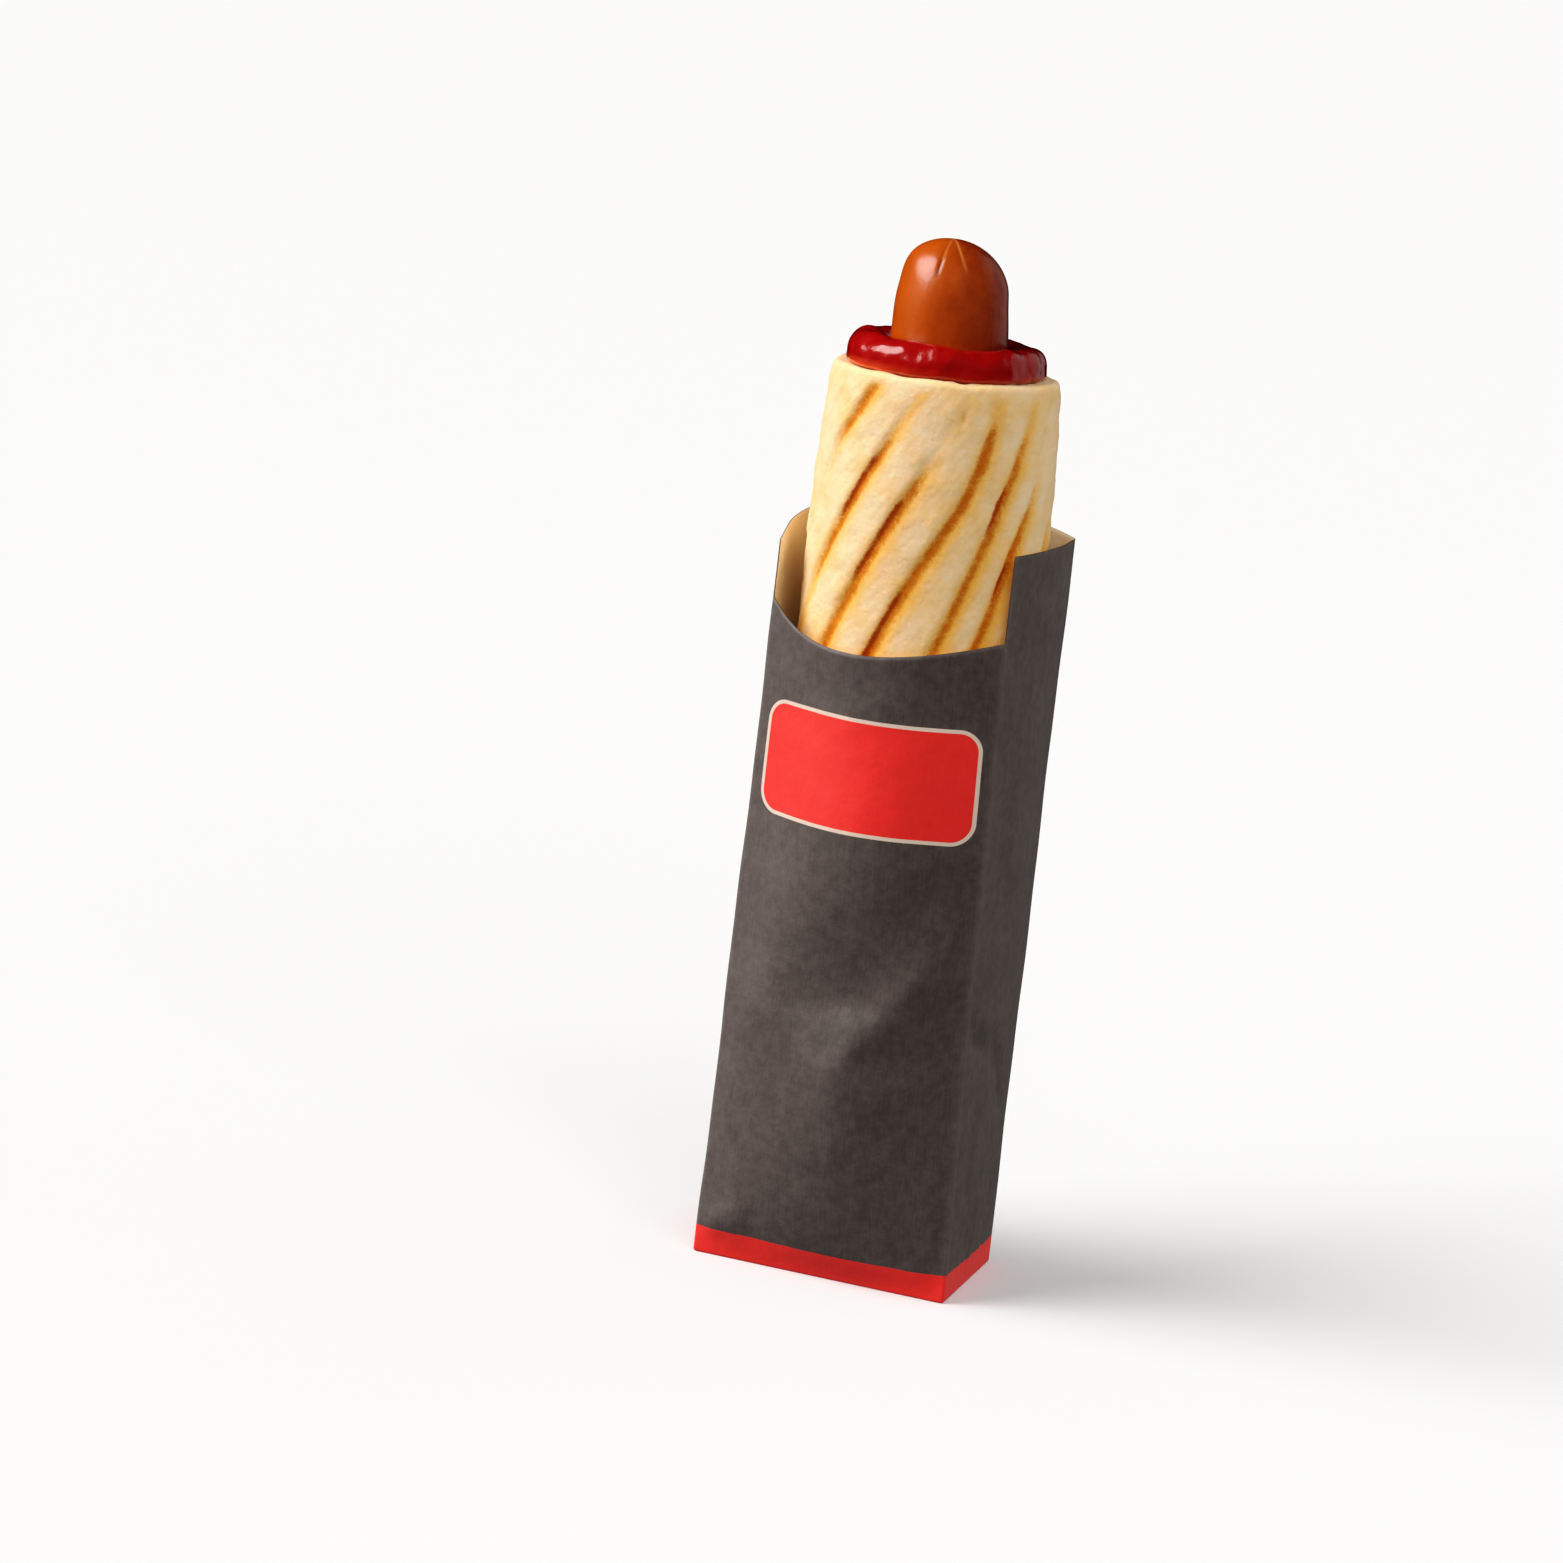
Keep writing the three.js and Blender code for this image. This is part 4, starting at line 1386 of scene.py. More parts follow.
    def skin(self) -> Patch:
        """The skin from the bottom pole to the rim, on columns that follow the grooves up the roll.

        Over each stretch from one groove to the next the signed distance to both grooves is known, and what
        the two cross-sections add there is summed.

        Returns:
            The patch.
        """
        height, inset = self.levels()
        count, marks = self.columns_per_groove, {mark.groove: mark for mark in self.marks}
        shape = (len(height), self.grooves * count + 1)
        angle = np.zeros(shape)
        grids = {name: np.zeros(shape) for name in ("near", "mark", "toast", "core")}
        steps = np.arange(count) / count
        for groove in range(self.grooves):
            cells = slice(groove * count, (groove + 1) * count)
            first = self.groove_angle(groove, height)[:, None]
            last = self.groove_angle(groove + 1, height)[:, None]
            angle[:, cells] = first + (last - first) * steps
            gap = np.radians(last - first) * self.half_width * self.girth_share
            here, after = marks[groove], marks[(groove + 1) % self.grooves]
            for mark, distance in ((here, gap * steps), (after, gap * (steps - 1.0))):
                for name, part in self.groove.section(mark, distance, height[:, None]).items():
                    grids[name][:, cells] += part
        for grid in grids.values():
            grid[:, -1] = grid[:, 0]
        angle[:, -1] = angle[:, 0] + 360.0
        return self.place(height, inset, angle, grids.pop("near"), grids)

    def place(
        self,
        height: Array,
        inset: Array,
        angle: Array,
        near: Array,
        painted: dict[str, Array],
    ) -> Patch:
        """Puts the skin's columns round the roll.

        Args:
            height: height of each row.
            inset: how far the shoulder's rounding takes each row in.
            angle: angle of each point.
            near: share of the groove's depth at each point.
            painted: values for the material.

        Returns:
            The patch: radius = half-size - inset - groove - pit + knob + ripples - dip at the rim, at each
            angle.
        """
        z = np.broadcast_to(height[:, None], angle.shape)
        shoulder = self.top - self.shoulder
        width, depth = self.halves(np.minimum(z, shoulder))
        turn = np.radians(angle)
        x0, y0 = self.centre
        smooth = np.stack([x0 + width * np.sin(turn), y0 - depth * np.cos(turn), z], -1)
        fade = smoothstep(shoulder - z, *self.groove_fade) * smoothstep(z, self.bottom, self.end_length)
        uneven = summed(self.lumps, smooth) + summed(self.crumb, smooth)
        taken = inset[:, None] + self.depth * near * fade + self.pit.at(angle, z) - self.knob.at(angle, z)
        taken = taken - uneven * smoothstep(z, self.bottom, self.crumb_above)
        dip, reach = self.edge_dip
        taken = taken + dip * smoothstep(z, shoulder - reach, self.top)
        radius_x, radius_y = np.maximum(width - taken, 0.0), np.maximum(depth - taken, 0.0)
        radius_x[0], radius_y[0] = 0.0, 0.0
        points = np.stack([x0 + radius_x * np.sin(turn), y0 - radius_y * np.cos(turn), z], -1)
        rounding = smoothstep(z, shoulder, self.top)
        points[..., 2] += self.rim_ripples.at(points) * rounding - self.rim_dip * rounding
        points[:, -1] = points[:, 0]
        values = {name: grid * smoothstep(shoulder - z, *self.mark_fade) for name, grid in painted.items()}
        strength, middle, half = self.rim_tan
        tan = strength * bell(z, middle, half)
        strength, from_height, to_height = self.low_tan
        tan = tan + strength * smoothstep(z, from_height, to_height)
        values["toast"] = values["toast"] + self.soft.at(angle, z) + tan
        return Patch(points, None, values)

    def face(self, rim: Array) -> Patch:
        """The top face and the bore: straight lines from the rim in to the bore, then down its wall.

        Args:
            rim: the skin's last row.

        Returns:
            The patch, whose first row is the rim and whose last one is the bore's pole.
        """
        centre = np.array(self.bore_centre)
        away = rim[:, :2] - centre
        direction = away / np.linalg.norm(away, axis=1, keepdims=True)
        edge = np.full((len(rim), 1), self.top - self.bore_edge)
        bore = np.concatenate([centre + self.bore * direction, edge], 1)
        share = np.linspace(0.0, 1.0, self.face_rings)[:, None, None]
        top = rim[None] + (bore - rim)[None] * share
        top[1:-1, :, 2] += self.face_ripples.at(top[1:-1])
        top[..., 2] = np.minimum(top[..., 2], self.top)
        wall = []
        for height in (*(self.top - row for row in self.bore_rows), self.bore_middle, self.bore_bottom):
            ring = bore.copy()
            ring[:, 2] = height
            wall.append(ring)
        pole = np.tile([*self.bore_centre, self.bore_bottom], (len(rim), 1))
        return Patch(np.concatenate([top, np.stack(wall + [pole])]))

    def build(self) -> bpy.types.Object:
        """Makes the roll and hands it over.

        Returns:
            The piece.
        """
        skin = self.skin()
        piece = assemble("grilled_roll", [skin, self.face(skin.points[-1])], [Crust().make()])
        hand_over(piece, Slot.BREAD, "roll")
        return piece


# ---- The sausage ----


@dataclass(frozen=True)
class Casing:
    """A taut casing: orange-brown, darker on the side away from the key light by painted shade, with a satin
    gloss.

    The weights say how much clouds, streaks and grain count in the tone, mottled how far the mottle swings,
    and mean_tone at which tone the painted shade is as painted on the mesh.
    """

    orange: Colour = (0.54, 0.098, 0.006)
    # colour of the painted shade on the side away from the key light
    brown: Colour = (0.14, 0.0098, 0.002)
    # colour of the painted highlight on a gather's lip
    crease: Colour = (0.72, 0.24, 0.07)
    # colour of the painted shade in a gather's fold
    fold: Colour = (0.16, 0.02, 0.004)
    clouds: Speckle = Speckle(110.0, 3.0, 0.55)
    streaks: Speckle = Speckle((300.0, 300.0, 110.0), 2.0, 0.5)
    grain: Speckle = Speckle(1300.0, 2.0, 0.6)
    weights: Triple = (0.40, 0.30, 0.10)
    mottle: Speckle = Speckle(330.0, 3.0, 0.6)
    mottled: float = 0.25
    mean_tone: float = 0.40
    fine: Relief = Relief(0.00005, 0.5)
    streaked: Relief = Relief(0.00035, 0.45)
    roughness: float = 0.28
    gloss: float = 0.75
    glow: float = 0.08
    glow_colours: Colour = (1.0, 0.25, 0.1)
    glow_scale: float = 0.002

    def make(self) -> bpy.types.Material:
        """Builds the casing from the painted shade of one side, clouds, upright streaks and the painted
        highlights and shade of the gathers.

        Returns:
            The material.
        """
        finish = Finish("smoked_casing")
        clouds, streaks, grain = (finish.noise(part) for part in (self.clouds, self.streaks, self.grain))
        tone = finish.weighted(*zip((clouds, streaks, grain), self.weights))
        tone = finish.math("ADD", tone, finish.swing(finish.noise(self.mottle), self.mottled))
        departure = finish.math("SUBTRACT", tone, self.mean_tone)
        # painted shade, darker away from the key light, broken up by the tone
        shade_share = finish.math("ADD", finish.painted("smoke"), departure, clamp=True)
        colour = finish.mix(shade_share, self.orange, self.brown)
        # painted shade in the gathers' folds, then painted highlights on their lips
        colour = finish.mix(finish.painted("fold"), colour, self.fold)
        colour = finish.mix(finish.painted("crease"), colour, self.crease)
        return finish.done(
            Base_Color=colour,
            Roughness=self.roughness,
            Normal=finish.bump(streaks, self.streaked, finish.bump(grain, self.fine)),
            Specular_IOR_Level=self.gloss,
            Subsurface_Weight=self.glow,
            Subsurface_Radius=self.glow_colours,
            Subsurface_Scale=self.glow_scale,
        )


@dataclass(frozen=True)
class Gather:
    """A gather crease of the tied tip.

    Attributes:
        angle: where it starts at the tip.
        drift: how many degrees it turns on its way down.
        length: how far below the tip it ends.
        depth: how deep the fold goes.
        lip: how far the casing stands up beside it.
        glow: strength of the painted highlight along its lip.
        shade: strength of the painted shade in its fold, in its lower half.
        half: half its width at the tip.
        widening: how much that grows in a millimetre downwards.
        lip_place: distance of the lip's middle from the crease, and half the lip's width.
        tip_fade: distance from the tip over which it comes in.
        least_radius: radius by which distances are counted next to the tip's pole.
        fades: shares of its length from which the fold, the painted colours and the painted highlight fade
            out.
        dark_full: share of its length at which the painted shade of the fold has its full strength.
    """

    angle: float
    drift: float
    length: float
    depth: float
    lip: float
    glow: float
    shade: float
    half: float = 0.30
    widening: float = 0.035
    lip_place: Pair = (1.1, 0.7)
    tip_fade: float = 0.8
    least_radius: float = 0.05
    fades: Triple = (0.25, 0.7, 0.35)
    dark_full: float = 0.6

    def at(self, angle: Array, below: Array, radius: Array) -> tuple[Array, ...]:
        """What the crease does to the casing.

        Args:
            angle: angles.
            below: distances below the tip.
            radius: radius of the sausage there.

        Returns:
            How far it goes in, a bell across the crease less a bell over its lip, and the strengths of the
            painted highlight and of the painted shade in the fold, both narrow bells.
        """
        line = self.angle + self.drift * below / self.length
        across = np.radians(turned_away(angle - line, 0.0)) * np.maximum(radius, self.least_radius)
        fold_from, colour_from, dark_from = (share * self.length for share in self.fades)
        fade = smoothstep(below, self.length, fold_from) * smoothstep(below, 0.0, self.tip_fade)
        fold = self.depth * fade * bell(across, 0.0, self.half + self.widening * below)
        lip = self.lip * fade * bell(across, *self.lip_place)
        # painted highlight and painted shade, in a narrow band along the crease
        near = bell(across, 0.0, self.half) * smoothstep(below, self.length, colour_from)
        lower = smoothstep(below, dark_from, self.dark_full * self.length)
        return fold - lip, self.glow * near * (1.0 - self.shade * lower), self.shade * near * lower


@dataclass
class Sausage:
    """The sausage: a long round body with a dome at each end; the upper one leans and is gathered."""

    centre: Pair = (1.0, -1.0)
    radius: float = 13.1
    bottom: float = 38.0
    top: float = 237.4
    dome: float = 18.0  # height of a dome
    power: float = 2.5  # power of a dome's rounding
    lean: float = -1.6  # how far the tip leans to the right; below 0 to the left
    lean_start: float = 226.0
    columns: int = 240
    # Rows of the lower dome, the hidden body, the shown body and the upper dome.
    rows: tuple[int, int, int, int] = (14, 12, 26, 60)
    shown_above: float = 200.0  # height above which the rows are close
    lit_side_angle: float = -50.0  # angle facing the key light, where the painted shade is least
    uneven: tuple[Ripples, ...] = (
        Ripples(31, 16.0, 0.05, (1.0, 1.0, 2.0)),
        Ripples(32, 5.0, 0.02, (1.0, 1.0, 3.0)),
    )
    tip_fade: Pair = (0.5, 8.0)  # distances below the tip between which the unevenness comes in
    end_fade: float = 10.0  # height over which it comes in at the lower end
    # A flatter place on the right of the dome, whose height is counted down from the tip.
    flat: Spot = Spot(105.0, 13.5, 55.0, 5.5, 0.75)
    pinch: Pair = (0.16, 1.5)  # share that the tie takes off the radius at the tip, and how far down it fades
    gathers: tuple[Gather, ...] = (
        Gather(7.0, -12.0, 8.6, 0.42, 0.04, 0.45, 1.0),
        Gather(28.0, 4.0, 6.6, 0.26, 0.12, 0.75, 0.2),
        Gather(100.0, 5.0, 8.0, 0.30, 0.08, 0.6, 0.5),
        Gather(170.0, -6.0, 9.0, 0.34, 0.10, 0.6, 0.6),
        Gather(240.0, 6.0, 7.5, 0.25, 0.08, 0.6, 0.3),
    )

    def share(self, distance: Array) -> Array:
        """Share of the full radius at a distance from the end of a dome: (1 - (1 - s)^p)^(1/p)."""
        left = np.clip(1.0 - distance / self.dome, 0.0, 1.0)
        return (1.0 - left**self.power) ** (1.0 / self.power)

    def levels(self) -> Array:
        """Heights of the rows, close together in the domes and where the sausage shows.

        Returns:
            The heights, as one column.
        """
        lower, hidden, shown, upper = self.rows
        low = self.bottom + self.dome * np.linspace(0.0, 1.0, lower) ** 2
        body = np.linspace(self.bottom + self.dome, self.shown_above, hidden)[1:]
        seen = np.linspace(self.shown_above, self.top - self.dome, shown)[1:]
        high = self.top - self.dome * np.linspace(1.0, 0.0, upper)[1:] ** 2
        return np.concatenate([low, body, seen, high])[:, None]

    def build(self) -> bpy.types.Object:
        """Makes the sausage and hands it over.

        The radius is the dome's share of the full radius, less the gathers and the flat place, plus slow
        unevenness, and the tie pinches it by 1 - a exp(-d/l) at the distance d below the tip. The axis
        leans over smoothly near the tip.

        Returns:
            The piece.
        """
        height = self.levels()
        angle = np.linspace(0.0, 360.0, self.columns + 1)[None, :]
        z = np.broadcast_to(height, (height.shape[0], angle.shape[1]))
        below = self.top - z
        radius = self.radius * self.share(np.minimum(z - self.bottom, below))
        folds = zip(*(gather.at(angle, below, radius) for gather in self.gathers))
        cut, glow, shade = (sum(parts) for parts in folds)
        turn = np.radians(angle)
        uneven = summed(self.uneven, np.stack([radius * np.sin(turn), -radius * np.cos(turn), z], -1))
        uneven = uneven * smoothstep(below, *self.tip_fade)
        uneven = uneven * smoothstep(z, self.bottom, self.bottom + self.end_fade)
        pinch, reach = self.pinch
        r = (radius - cut - self.flat.at(angle, below) + uneven) * (1.0 - pinch * np.exp(-below / reach))
        r = np.maximum(r, 0.0)
        r[0], r[-1] = 0.0, 0.0
        x = self.centre[0] + self.lean * smoothstep(z, self.lean_start, self.top) + r * np.sin(turn)
        points = np.stack([x, self.centre[1] - r * np.cos(turn), z], -1)
        points[:, -1] = points[:, 0]
        # painted shade: half of 1 - cos of the angle from the lit side, darkest on the side away from the key
        # light
        smoke = 0.5 - 0.5 * np.cos(np.radians(angle - self.lit_side_angle)) + np.zeros(z.shape)
        # crease and fold are the painted highlight on the gathers' lips and the painted shade in their folds
        values = {"crease": np.clip(glow, 0.0, 1.0), "fold": np.clip(shade, 0.0, 1.0), "smoke": smoke}
        piece = assemble("sausage_link", [Patch(points, None, values)], [Casing().make()])
        hand_over(piece, Slot.SAUSAGE, "sausage")
        return piece


# ---- The ketchup ----


@dataclass(frozen=True)
class Sauce:
    """Thick tomato sauce: deep red, lighter red towards the key light by painted light, orange-red where it
    is thin and most of all on that lit side, with a wet coat.

    cloudy says how far the clouds swing, and coat is the weight and roughness of the shader's coat.
    """

    deep: Colour = (0.235, 0.0020, 0.0026)
    # lighter red, brought in by the clouds and by painted light towards the key light
    bright: Colour = (0.40, 0.0070, 0.0070)
    # orange-red of the thin edge, painted strongest on the side towards the key light
    thin: Colour = (0.85, 0.12, 0.03)
    clouds: Speckle = Speckle(220.0, 3.0)
    cloudy: float = 0.4
    swirls: Speckle = Speckle(205.0, 1.0)
    ripples: Speckle = Speckle(480.0)
    swirled: Relief = Relief(0.0018, 0.66)
    rippled: Relief = Relief(0.00030, 0.5)
    roughness: float = 0.22
    gloss: float = 0.5
    coat: Pair = (0.6, 0.08)
    glow: float = 0.12
    glow_colours: Colour = (1.0, 0.1, 0.08)
    glow_scale: float = 0.0015

    def make(self) -> bpy.types.Material:
        """Builds the sauce from clouds, the painted light towards the key light and the thin edge, painted
        strongest on that side, with swirls and a fine wet ripple.

        Returns:
            The material.
        """
        finish = Finish("tomato_sauce")
        clouds = finish.swing(finish.noise(self.clouds), self.cloudy)
        # painted light: lighter towards the key light, swung by the clouds
        tone = finish.math("ADD", finish.painted("pale"), clouds, clamp=True)
        colour = finish.mix(tone, self.deep, self.bright)
        colour = finish.mix(finish.painted("thin"), colour, self.thin)
        swirl = finish.bump(finish.noise(self.swirls), self.swirled)
        weight, spread = self.coat
        return finish.done(
            Base_Color=colour,
            Roughness=self.roughness,
            Normal=finish.bump(finish.noise(self.ripples), self.rippled, swirl),
            Specular_IOR_Level=self.gloss,
            Coat_Weight=weight,
            Coat_Roughness=spread,
            Subsurface_Weight=self.glow,
            Subsurface_Radius=self.glow_colours,
            Subsurface_Scale=self.glow_scale,
        )


@dataclass
class Ketchup:
    """The ring of ketchup: a thick bead on the roll's top, against the sausage, with a ragged foot."""

    centre: Pair = (1.0, -1.0)
    inner: float = 13.15
    outer_left: float = 23.0
    outer_right: float = 22.2
    bottom_half: float = 2.9  # height of a section's lower half
    top_half: float = 4.6  # mean height of its upper half
    rest: float = 208.6  # height of the roll's top face
    sunk: float = 0.55  # how much lower a section lies than if its lower half stood on the top face
    flatness: float = 0.55  # power that flattens the underside
    dip: float = 0.35  # most that the underside lies below the top face
    hollow: Pair = (72.0, 20.0)  # angle and half-angle of a hollow against the sausage
    hollow_size: Pair = (1.5, 1.0)  # how far the hollow takes the bead down and out
    slow_radius: float = 20.0  # radius of the circle on which the slow changes of its size are read
    outline: Ripples = Ripples(41, 17.0, 0.30)  # slow change of the outer radius
    crest: Ripples = Ripples(42, 15.0, 0.022)  # slow change of the height, in shares of twice the upper half
    lumps: tuple[Ripples, ...] = (Ripples(43, 9.0, 0.13), Ripples(44, 4.0, 0.03))
    # Parts of a section, from its inside outwards, between which the lumps come in.
    lump_fade: Pair = (-0.85, -0.2)
    foot: float = 0.9  # mean reach of the foot over the bread
    foot_ripples: Ripples = Ripples(45, 5.0, 0.22)  # how ragged the foot is
    foot_stretch: float = 1.1  # how much wider the circle is on which that is read
    foot_fade: Pair = (-0.2, 0.3)  # parts of a section between which the foot comes in
    thin_height: Pair = (2.4, -0.2)  # heights over the top face between which the thin edge fades
    thin_fade: Pair = (0.1, 0.6)  # parts of a section between which it comes in
    thin_least: float = 0.1  # its strength away from its strongest place
    thin_spread: float = 40.0  # half-angle over which it is strongest
    lit_side_angle: float = -50.0  # angle facing the key light, where the painted light on the sauce and its thin edge are strongest
    around: int = 260  # columns round it
    section: int = 52  # points of a section

    def bead(
        self, angle: Array, slow: Array, outward: Array, upward: Array
    ) -> tuple[Array, Array]:
        """The smooth bead.

        Args:
            angle: angle of each column.
            slow: places on a circle, at which the slow changes of its size are read.
            outward: cosine of each row's angle round the section.
            upward: sine of it.

        Returns:
            Radius and height of each point: an ellipse whose underside is flattened by a power, with its
            width and height swelling and shrinking round the ring, and a hollow on its inside.
        """
        grown = (1.0 + np.sin(np.radians(angle))) / 2.0
        outer = self.outer_left + (self.outer_right - self.outer_left) * grown + self.outline.at(slow)
        high = 2.0 * self.top_half * (0.5 + self.crest.at(slow))
        flat = np.sign(upward) * np.abs(upward) ** self.flatness
        level = self.rest + self.bottom_half - self.sunk
        middle, spread = self.hollow
        hollow = bell(turned_away(angle, middle), 0.0, spread)
        inside = np.clip(-outward, 0.0, 1.0) * np.clip(upward, 0.0, 1.0)
        down, out = self.hollow_size
        r = self.inner + (outer - self.inner) / 2.0 * (1.0 + outward) + out * hollow * inside
        z = level + np.where(upward > 0, upward * high, flat * self.bottom_half) - down * hollow * inside
        return r, z

    def strengths(self, angle: Array, outward: Array, z: Array) -> dict[str, Array]:
        """Values for the material.

        Args:
            angle: angle of each column.
            outward: cosine of each row's angle round the section.
            z: height of each point.

        Returns:
            By name: the thin edge, low on the outside and painted strongest on the side towards the key
                light, and
            the painted light towards the key light, half of 1 + cos round the ring.
        """
        high, low = self.thin_height
        edge = smoothstep(z, self.rest + high, self.rest + low) * smoothstep(outward, *self.thin_fade)
        # the thin edge is painted strongest on the side towards the key light
        most = bell(turned_away(angle, self.lit_side_angle), 0.0, self.thin_spread)
        thin = edge * (self.thin_least + (1.0 - self.thin_least) * most)
        # painted light: brightest towards the key light
        pale = 0.5 + 0.5 * np.cos(np.radians(angle - self.lit_side_angle)) + np.zeros(z.shape)
        return {"thin": np.clip(thin, 0.0, 1.0), "pale": pale}

    def build(self) -> bpy.types.Object:
        """Makes the ring and hands it over.

        The bead gets lumps on its outside and a ragged foot that spreads over the bread, and its underside
        is cut off level just below the top face.

        Returns:
            The piece.
        """
        angle = np.linspace(0.0, 360.0, self.around + 1)[None, :]
        turn = np.radians(angle)
        phi = np.linspace(-np.pi, np.pi, self.section + 1)[:, None]
        outward, upward = np.cos(phi), np.sin(phi)
        slow = np.stack([np.sin(turn), np.cos(turn), np.zeros(turn.shape)], -1) * self.slow_radius
        r, z = self.bead(angle, slow, outward, upward)
        lump = summed(self.lumps, np.stack([r * np.sin(turn), -r * np.cos(turn), z], -1))
        lump = lump * smoothstep(outward, *self.lump_fade)
        r = r + lump * (0.5 + 0.5 * np.clip(outward, 0.0, 1.0))
        z = z + lump * np.clip(upward, 0.0, 1.0)
        foot = np.clip(-upward, 0.0, 1.0) * smoothstep(outward, *self.foot_fade)
        r = r + foot * (self.foot + self.foot_ripples.at(slow * self.foot_stretch))
        z = np.maximum(z, self.rest - self.dip)
        x, y = self.centre[0] + r * np.sin(turn), self.centre[1] - r * np.cos(turn)
        points = np.stack([x, y, z], -1)
        points[:, -1] = points[:, 0]
        points[-1] = points[0]
        patch = Patch(points, None, self.strengths(angle, outward, z))
        piece = assemble("ketchup_ring", [patch], [Sauce().make()])
        hand_over(piece, Slot.KETCHUP, "ketchup")
        return piece


# ---- Studio ----


@dataclass(frozen=True)
class Lamp:
    """A broad distant light.

    Attributes:
        name: its name.
        strength: light on a surface that faces it, in watts per square metre.
        azimuth: where it stands round the object, 0 in front and growing to the right.
        elevation: how high it stands, in degrees.
        breadth: how broad it looks, in degrees.
        shines: whether it shows in reflections.
    """

    name: str
    strength: float
    azimuth: float
    elevation: float
    breadth: float
    shines: bool


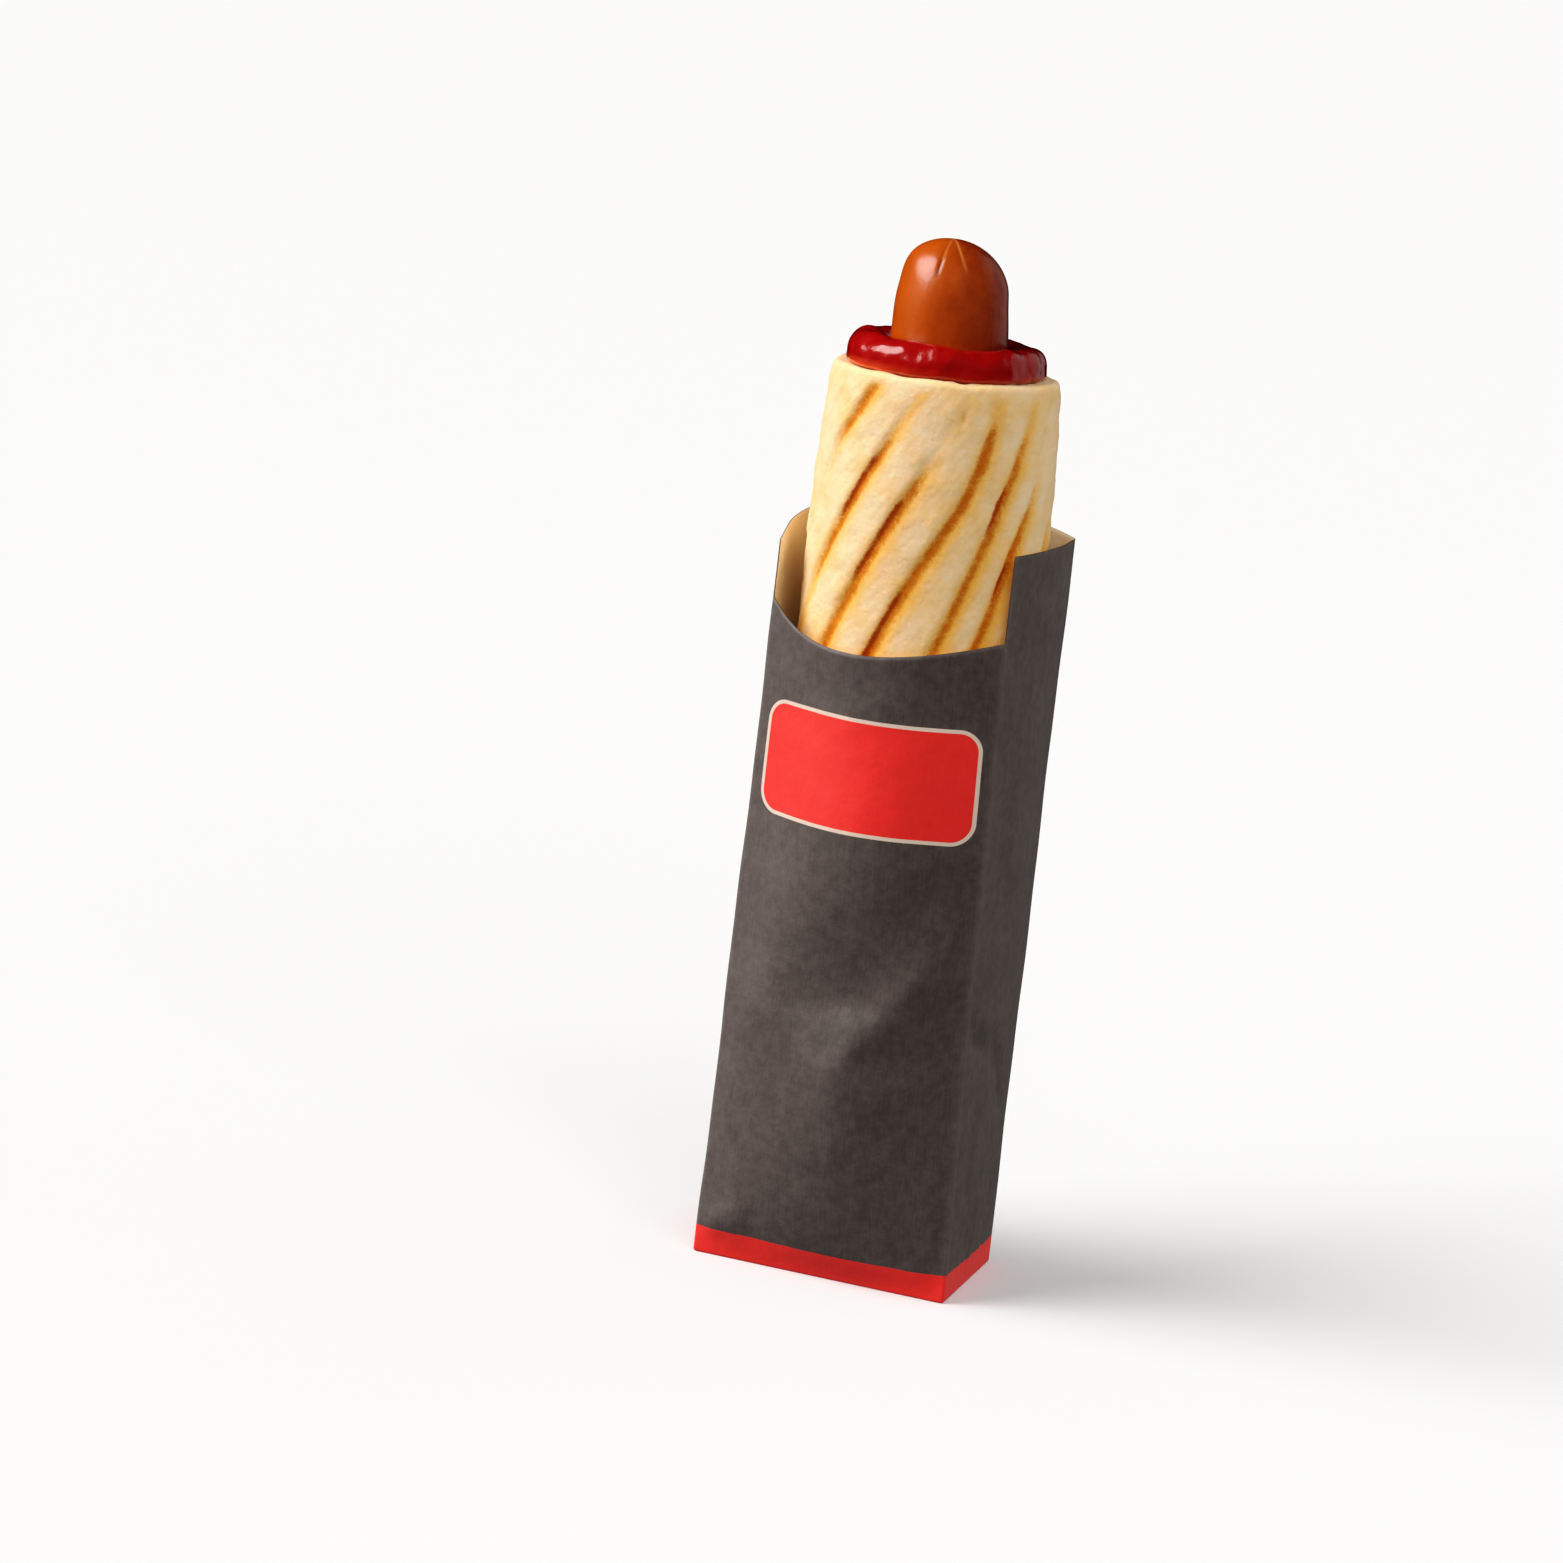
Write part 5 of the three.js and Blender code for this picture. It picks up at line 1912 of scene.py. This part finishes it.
@dataclass(frozen=True)
class Studio:
    """A plain pale floor, a broad soft key light from the left, even fill light and the camera."""

    floor_half: float = 40.0  # half the floor's side, in metres
    floor_tone: float = 0.88
    floor_glow: float = 0.06  # light that it gives off by itself, so that its shadows stay pale
    floor_roughness: float = 0.9
    floor_gloss: float = 0.1
    around: float = 0.27  # strength of the even light
    lamp_colour: Colour = (1.0, 0.985, 0.965)
    lights: tuple[Lamp, ...] = (
        Lamp("key", 2.5, -62.0, 38.0, 44.0, True),
        Lamp("side", 1.35, -76.0, 6.0, 46.0, False),
        Lamp("front", 0.85, 38.0, 38.0, 44.0, False),
        Lamp("fill", 0.40, 88.0, 10.0, 60.0, False),
        Lamp("rim", 0.30, 140.0, 15.0, 66.0, True),
    )
    curve: int = 3  # number of the tone curve among the view's curves: the one for all colours together
    tones: tuple[tuple[float, float], ...] = (  # points of the tone curve, as light and tone
        (0.012, 0.004),
        (0.030, 0.015),
        (0.065, 0.045),
        (0.11, 0.095),
        (0.20, 0.205),
        (0.35, 0.375),
        (0.55, 0.59),
        (0.80, 0.87),
    )
    azimuth: float = 18.1  # where the camera stands round the object, 0 in front and growing to the right
    elevation: float = 12.4
    roll: float = 6.18
    distance: float = 1.020  # the camera's distance from the target, in metres
    target: Triple = (-0.0272, 0.0, 0.109)  # what the camera looks at, in metres
    focal_share: float = 4447.2 / 1563.0  # focal length in frame widths
    sensor: float = 36.0  # width of the sensor, in millimetres
    clip: Pair = (0.05, 200.0)  # nearest and farthest distance seen, in metres

    @staticmethod
    def direction(azimuth: float, elevation: float) -> Vector:
        """Unit vector towards an azimuth (0 at the front, growing to the right) and an elevation."""
        a, e = math.radians(azimuth), math.radians(elevation)
        return Vector((math.sin(a) * math.cos(e), -math.cos(a) * math.cos(e), math.sin(e)))

    def floor(self) -> bpy.types.Object:
        """The floor: one level square of matt off-white, which sends no light back onto the object.

        Returns:
            The floor.
        """
        half = self.floor_half
        corners = [(-half, -half, 0.0), (half, -half, 0.0), (half, half, 0.0), (-half, half, 0.0)]
        mesh = bpy.data.meshes.new("floor")
        mesh.from_pydata(corners, [], [(0, 1, 2, 3)])
        material = Finish("pale_floor").done(
            Base_Color=(self.floor_tone,) * 3 + (1.0,),
            Roughness=self.floor_roughness,
            Specular_IOR_Level=self.floor_gloss,
            Emission_Color=WHITE,
            Emission_Strength=self.floor_glow,
        )
        mesh.materials.append(material)
        floor = bpy.data.objects.new("floor", mesh)
        bpy.context.scene.collection.objects.link(floor)
        floor.visible_glossy = floor.visible_diffuse = False
        return floor

    def light(self) -> None:
        """The even light of the room, which is hidden from reflections, and the lamps."""
        world = bpy.data.worlds.new("room")
        bpy.context.scene.world = world
        world.use_nodes = True
        sky = world.node_tree.nodes["Background"]
        sky.inputs["Color"].default_value = WHITE
        sky.inputs["Strength"].default_value = self.around
        world.cycles_visibility.glossy = False
        for lamp in self.lights:
            sun = bpy.data.lights.new(lamp.name, "SUN")
            sun.energy = lamp.strength
            sun.angle = math.radians(lamp.breadth)
            sun.color = self.lamp_colour
            body = bpy.data.objects.new(lamp.name, sun)
            towards = self.direction(lamp.azimuth, lamp.elevation)
            body.rotation_euler = towards.to_track_quat("Z", "Y").to_euler()
            body.visible_glossy = lamp.shines
            bpy.context.scene.collection.objects.link(body)

    def develop(self) -> None:
        """The view's tone curve: a mild S, darker in the deep tones and lighter in the light ones."""
        view = bpy.context.scene.view_settings
        view.view_transform = "Standard"
        view.use_curve_mapping = True
        curve = view.curve_mapping.curves[self.curve]
        for light, tone in self.tones:
            curve.points.new(light, tone)
        view.curve_mapping.update()

    def camera(self) -> None:
        """The camera: looks at the target from its azimuth and elevation, turned by its roll."""
        back = self.direction(self.azimuth, self.elevation)
        level = Vector((math.cos(math.radians(self.azimuth)), math.sin(math.radians(self.azimuth)), 0.0))
        up = back.cross(level)
        turn = math.radians(self.roll)
        right = level * math.cos(turn) + up * math.sin(turn)
        top = up * math.cos(turn) - level * math.sin(turn)
        place = Vector(self.target) + back * self.distance
        data = bpy.data.cameras.new("camera")
        data.sensor_fit = "HORIZONTAL"
        data.sensor_width = self.sensor
        data.lens = self.sensor * self.focal_share
        data.clip_start, data.clip_end = self.clip
        camera = bpy.data.objects.new("camera", data)
        axes = Matrix((right, top, back)).transposed().to_4x4()
        camera.matrix_world = Matrix.Translation(place) @ axes
        bpy.context.scene.collection.objects.link(camera)
        bpy.context.scene.camera = camera

    def build(self) -> None:
        """Sets up the studio."""
        self.floor()
        self.light()
        self.camera()
        self.develop()


def plain(box: object) -> list[list[float]]:
    """A box as two plain lists of numbers."""
    return [[float(part) for part in corner] for corner in box]


def main() -> None:
    """Builds the studio and the pieces in order."""
    logging.basicConfig(level=logging.INFO, format="%(name)s: %(message)s")
    Studio().build()
    Sleeve().build()
    Roll().build()
    Sausage().build()
    Ketchup().build()


if __name__ == "__main__":
    main()
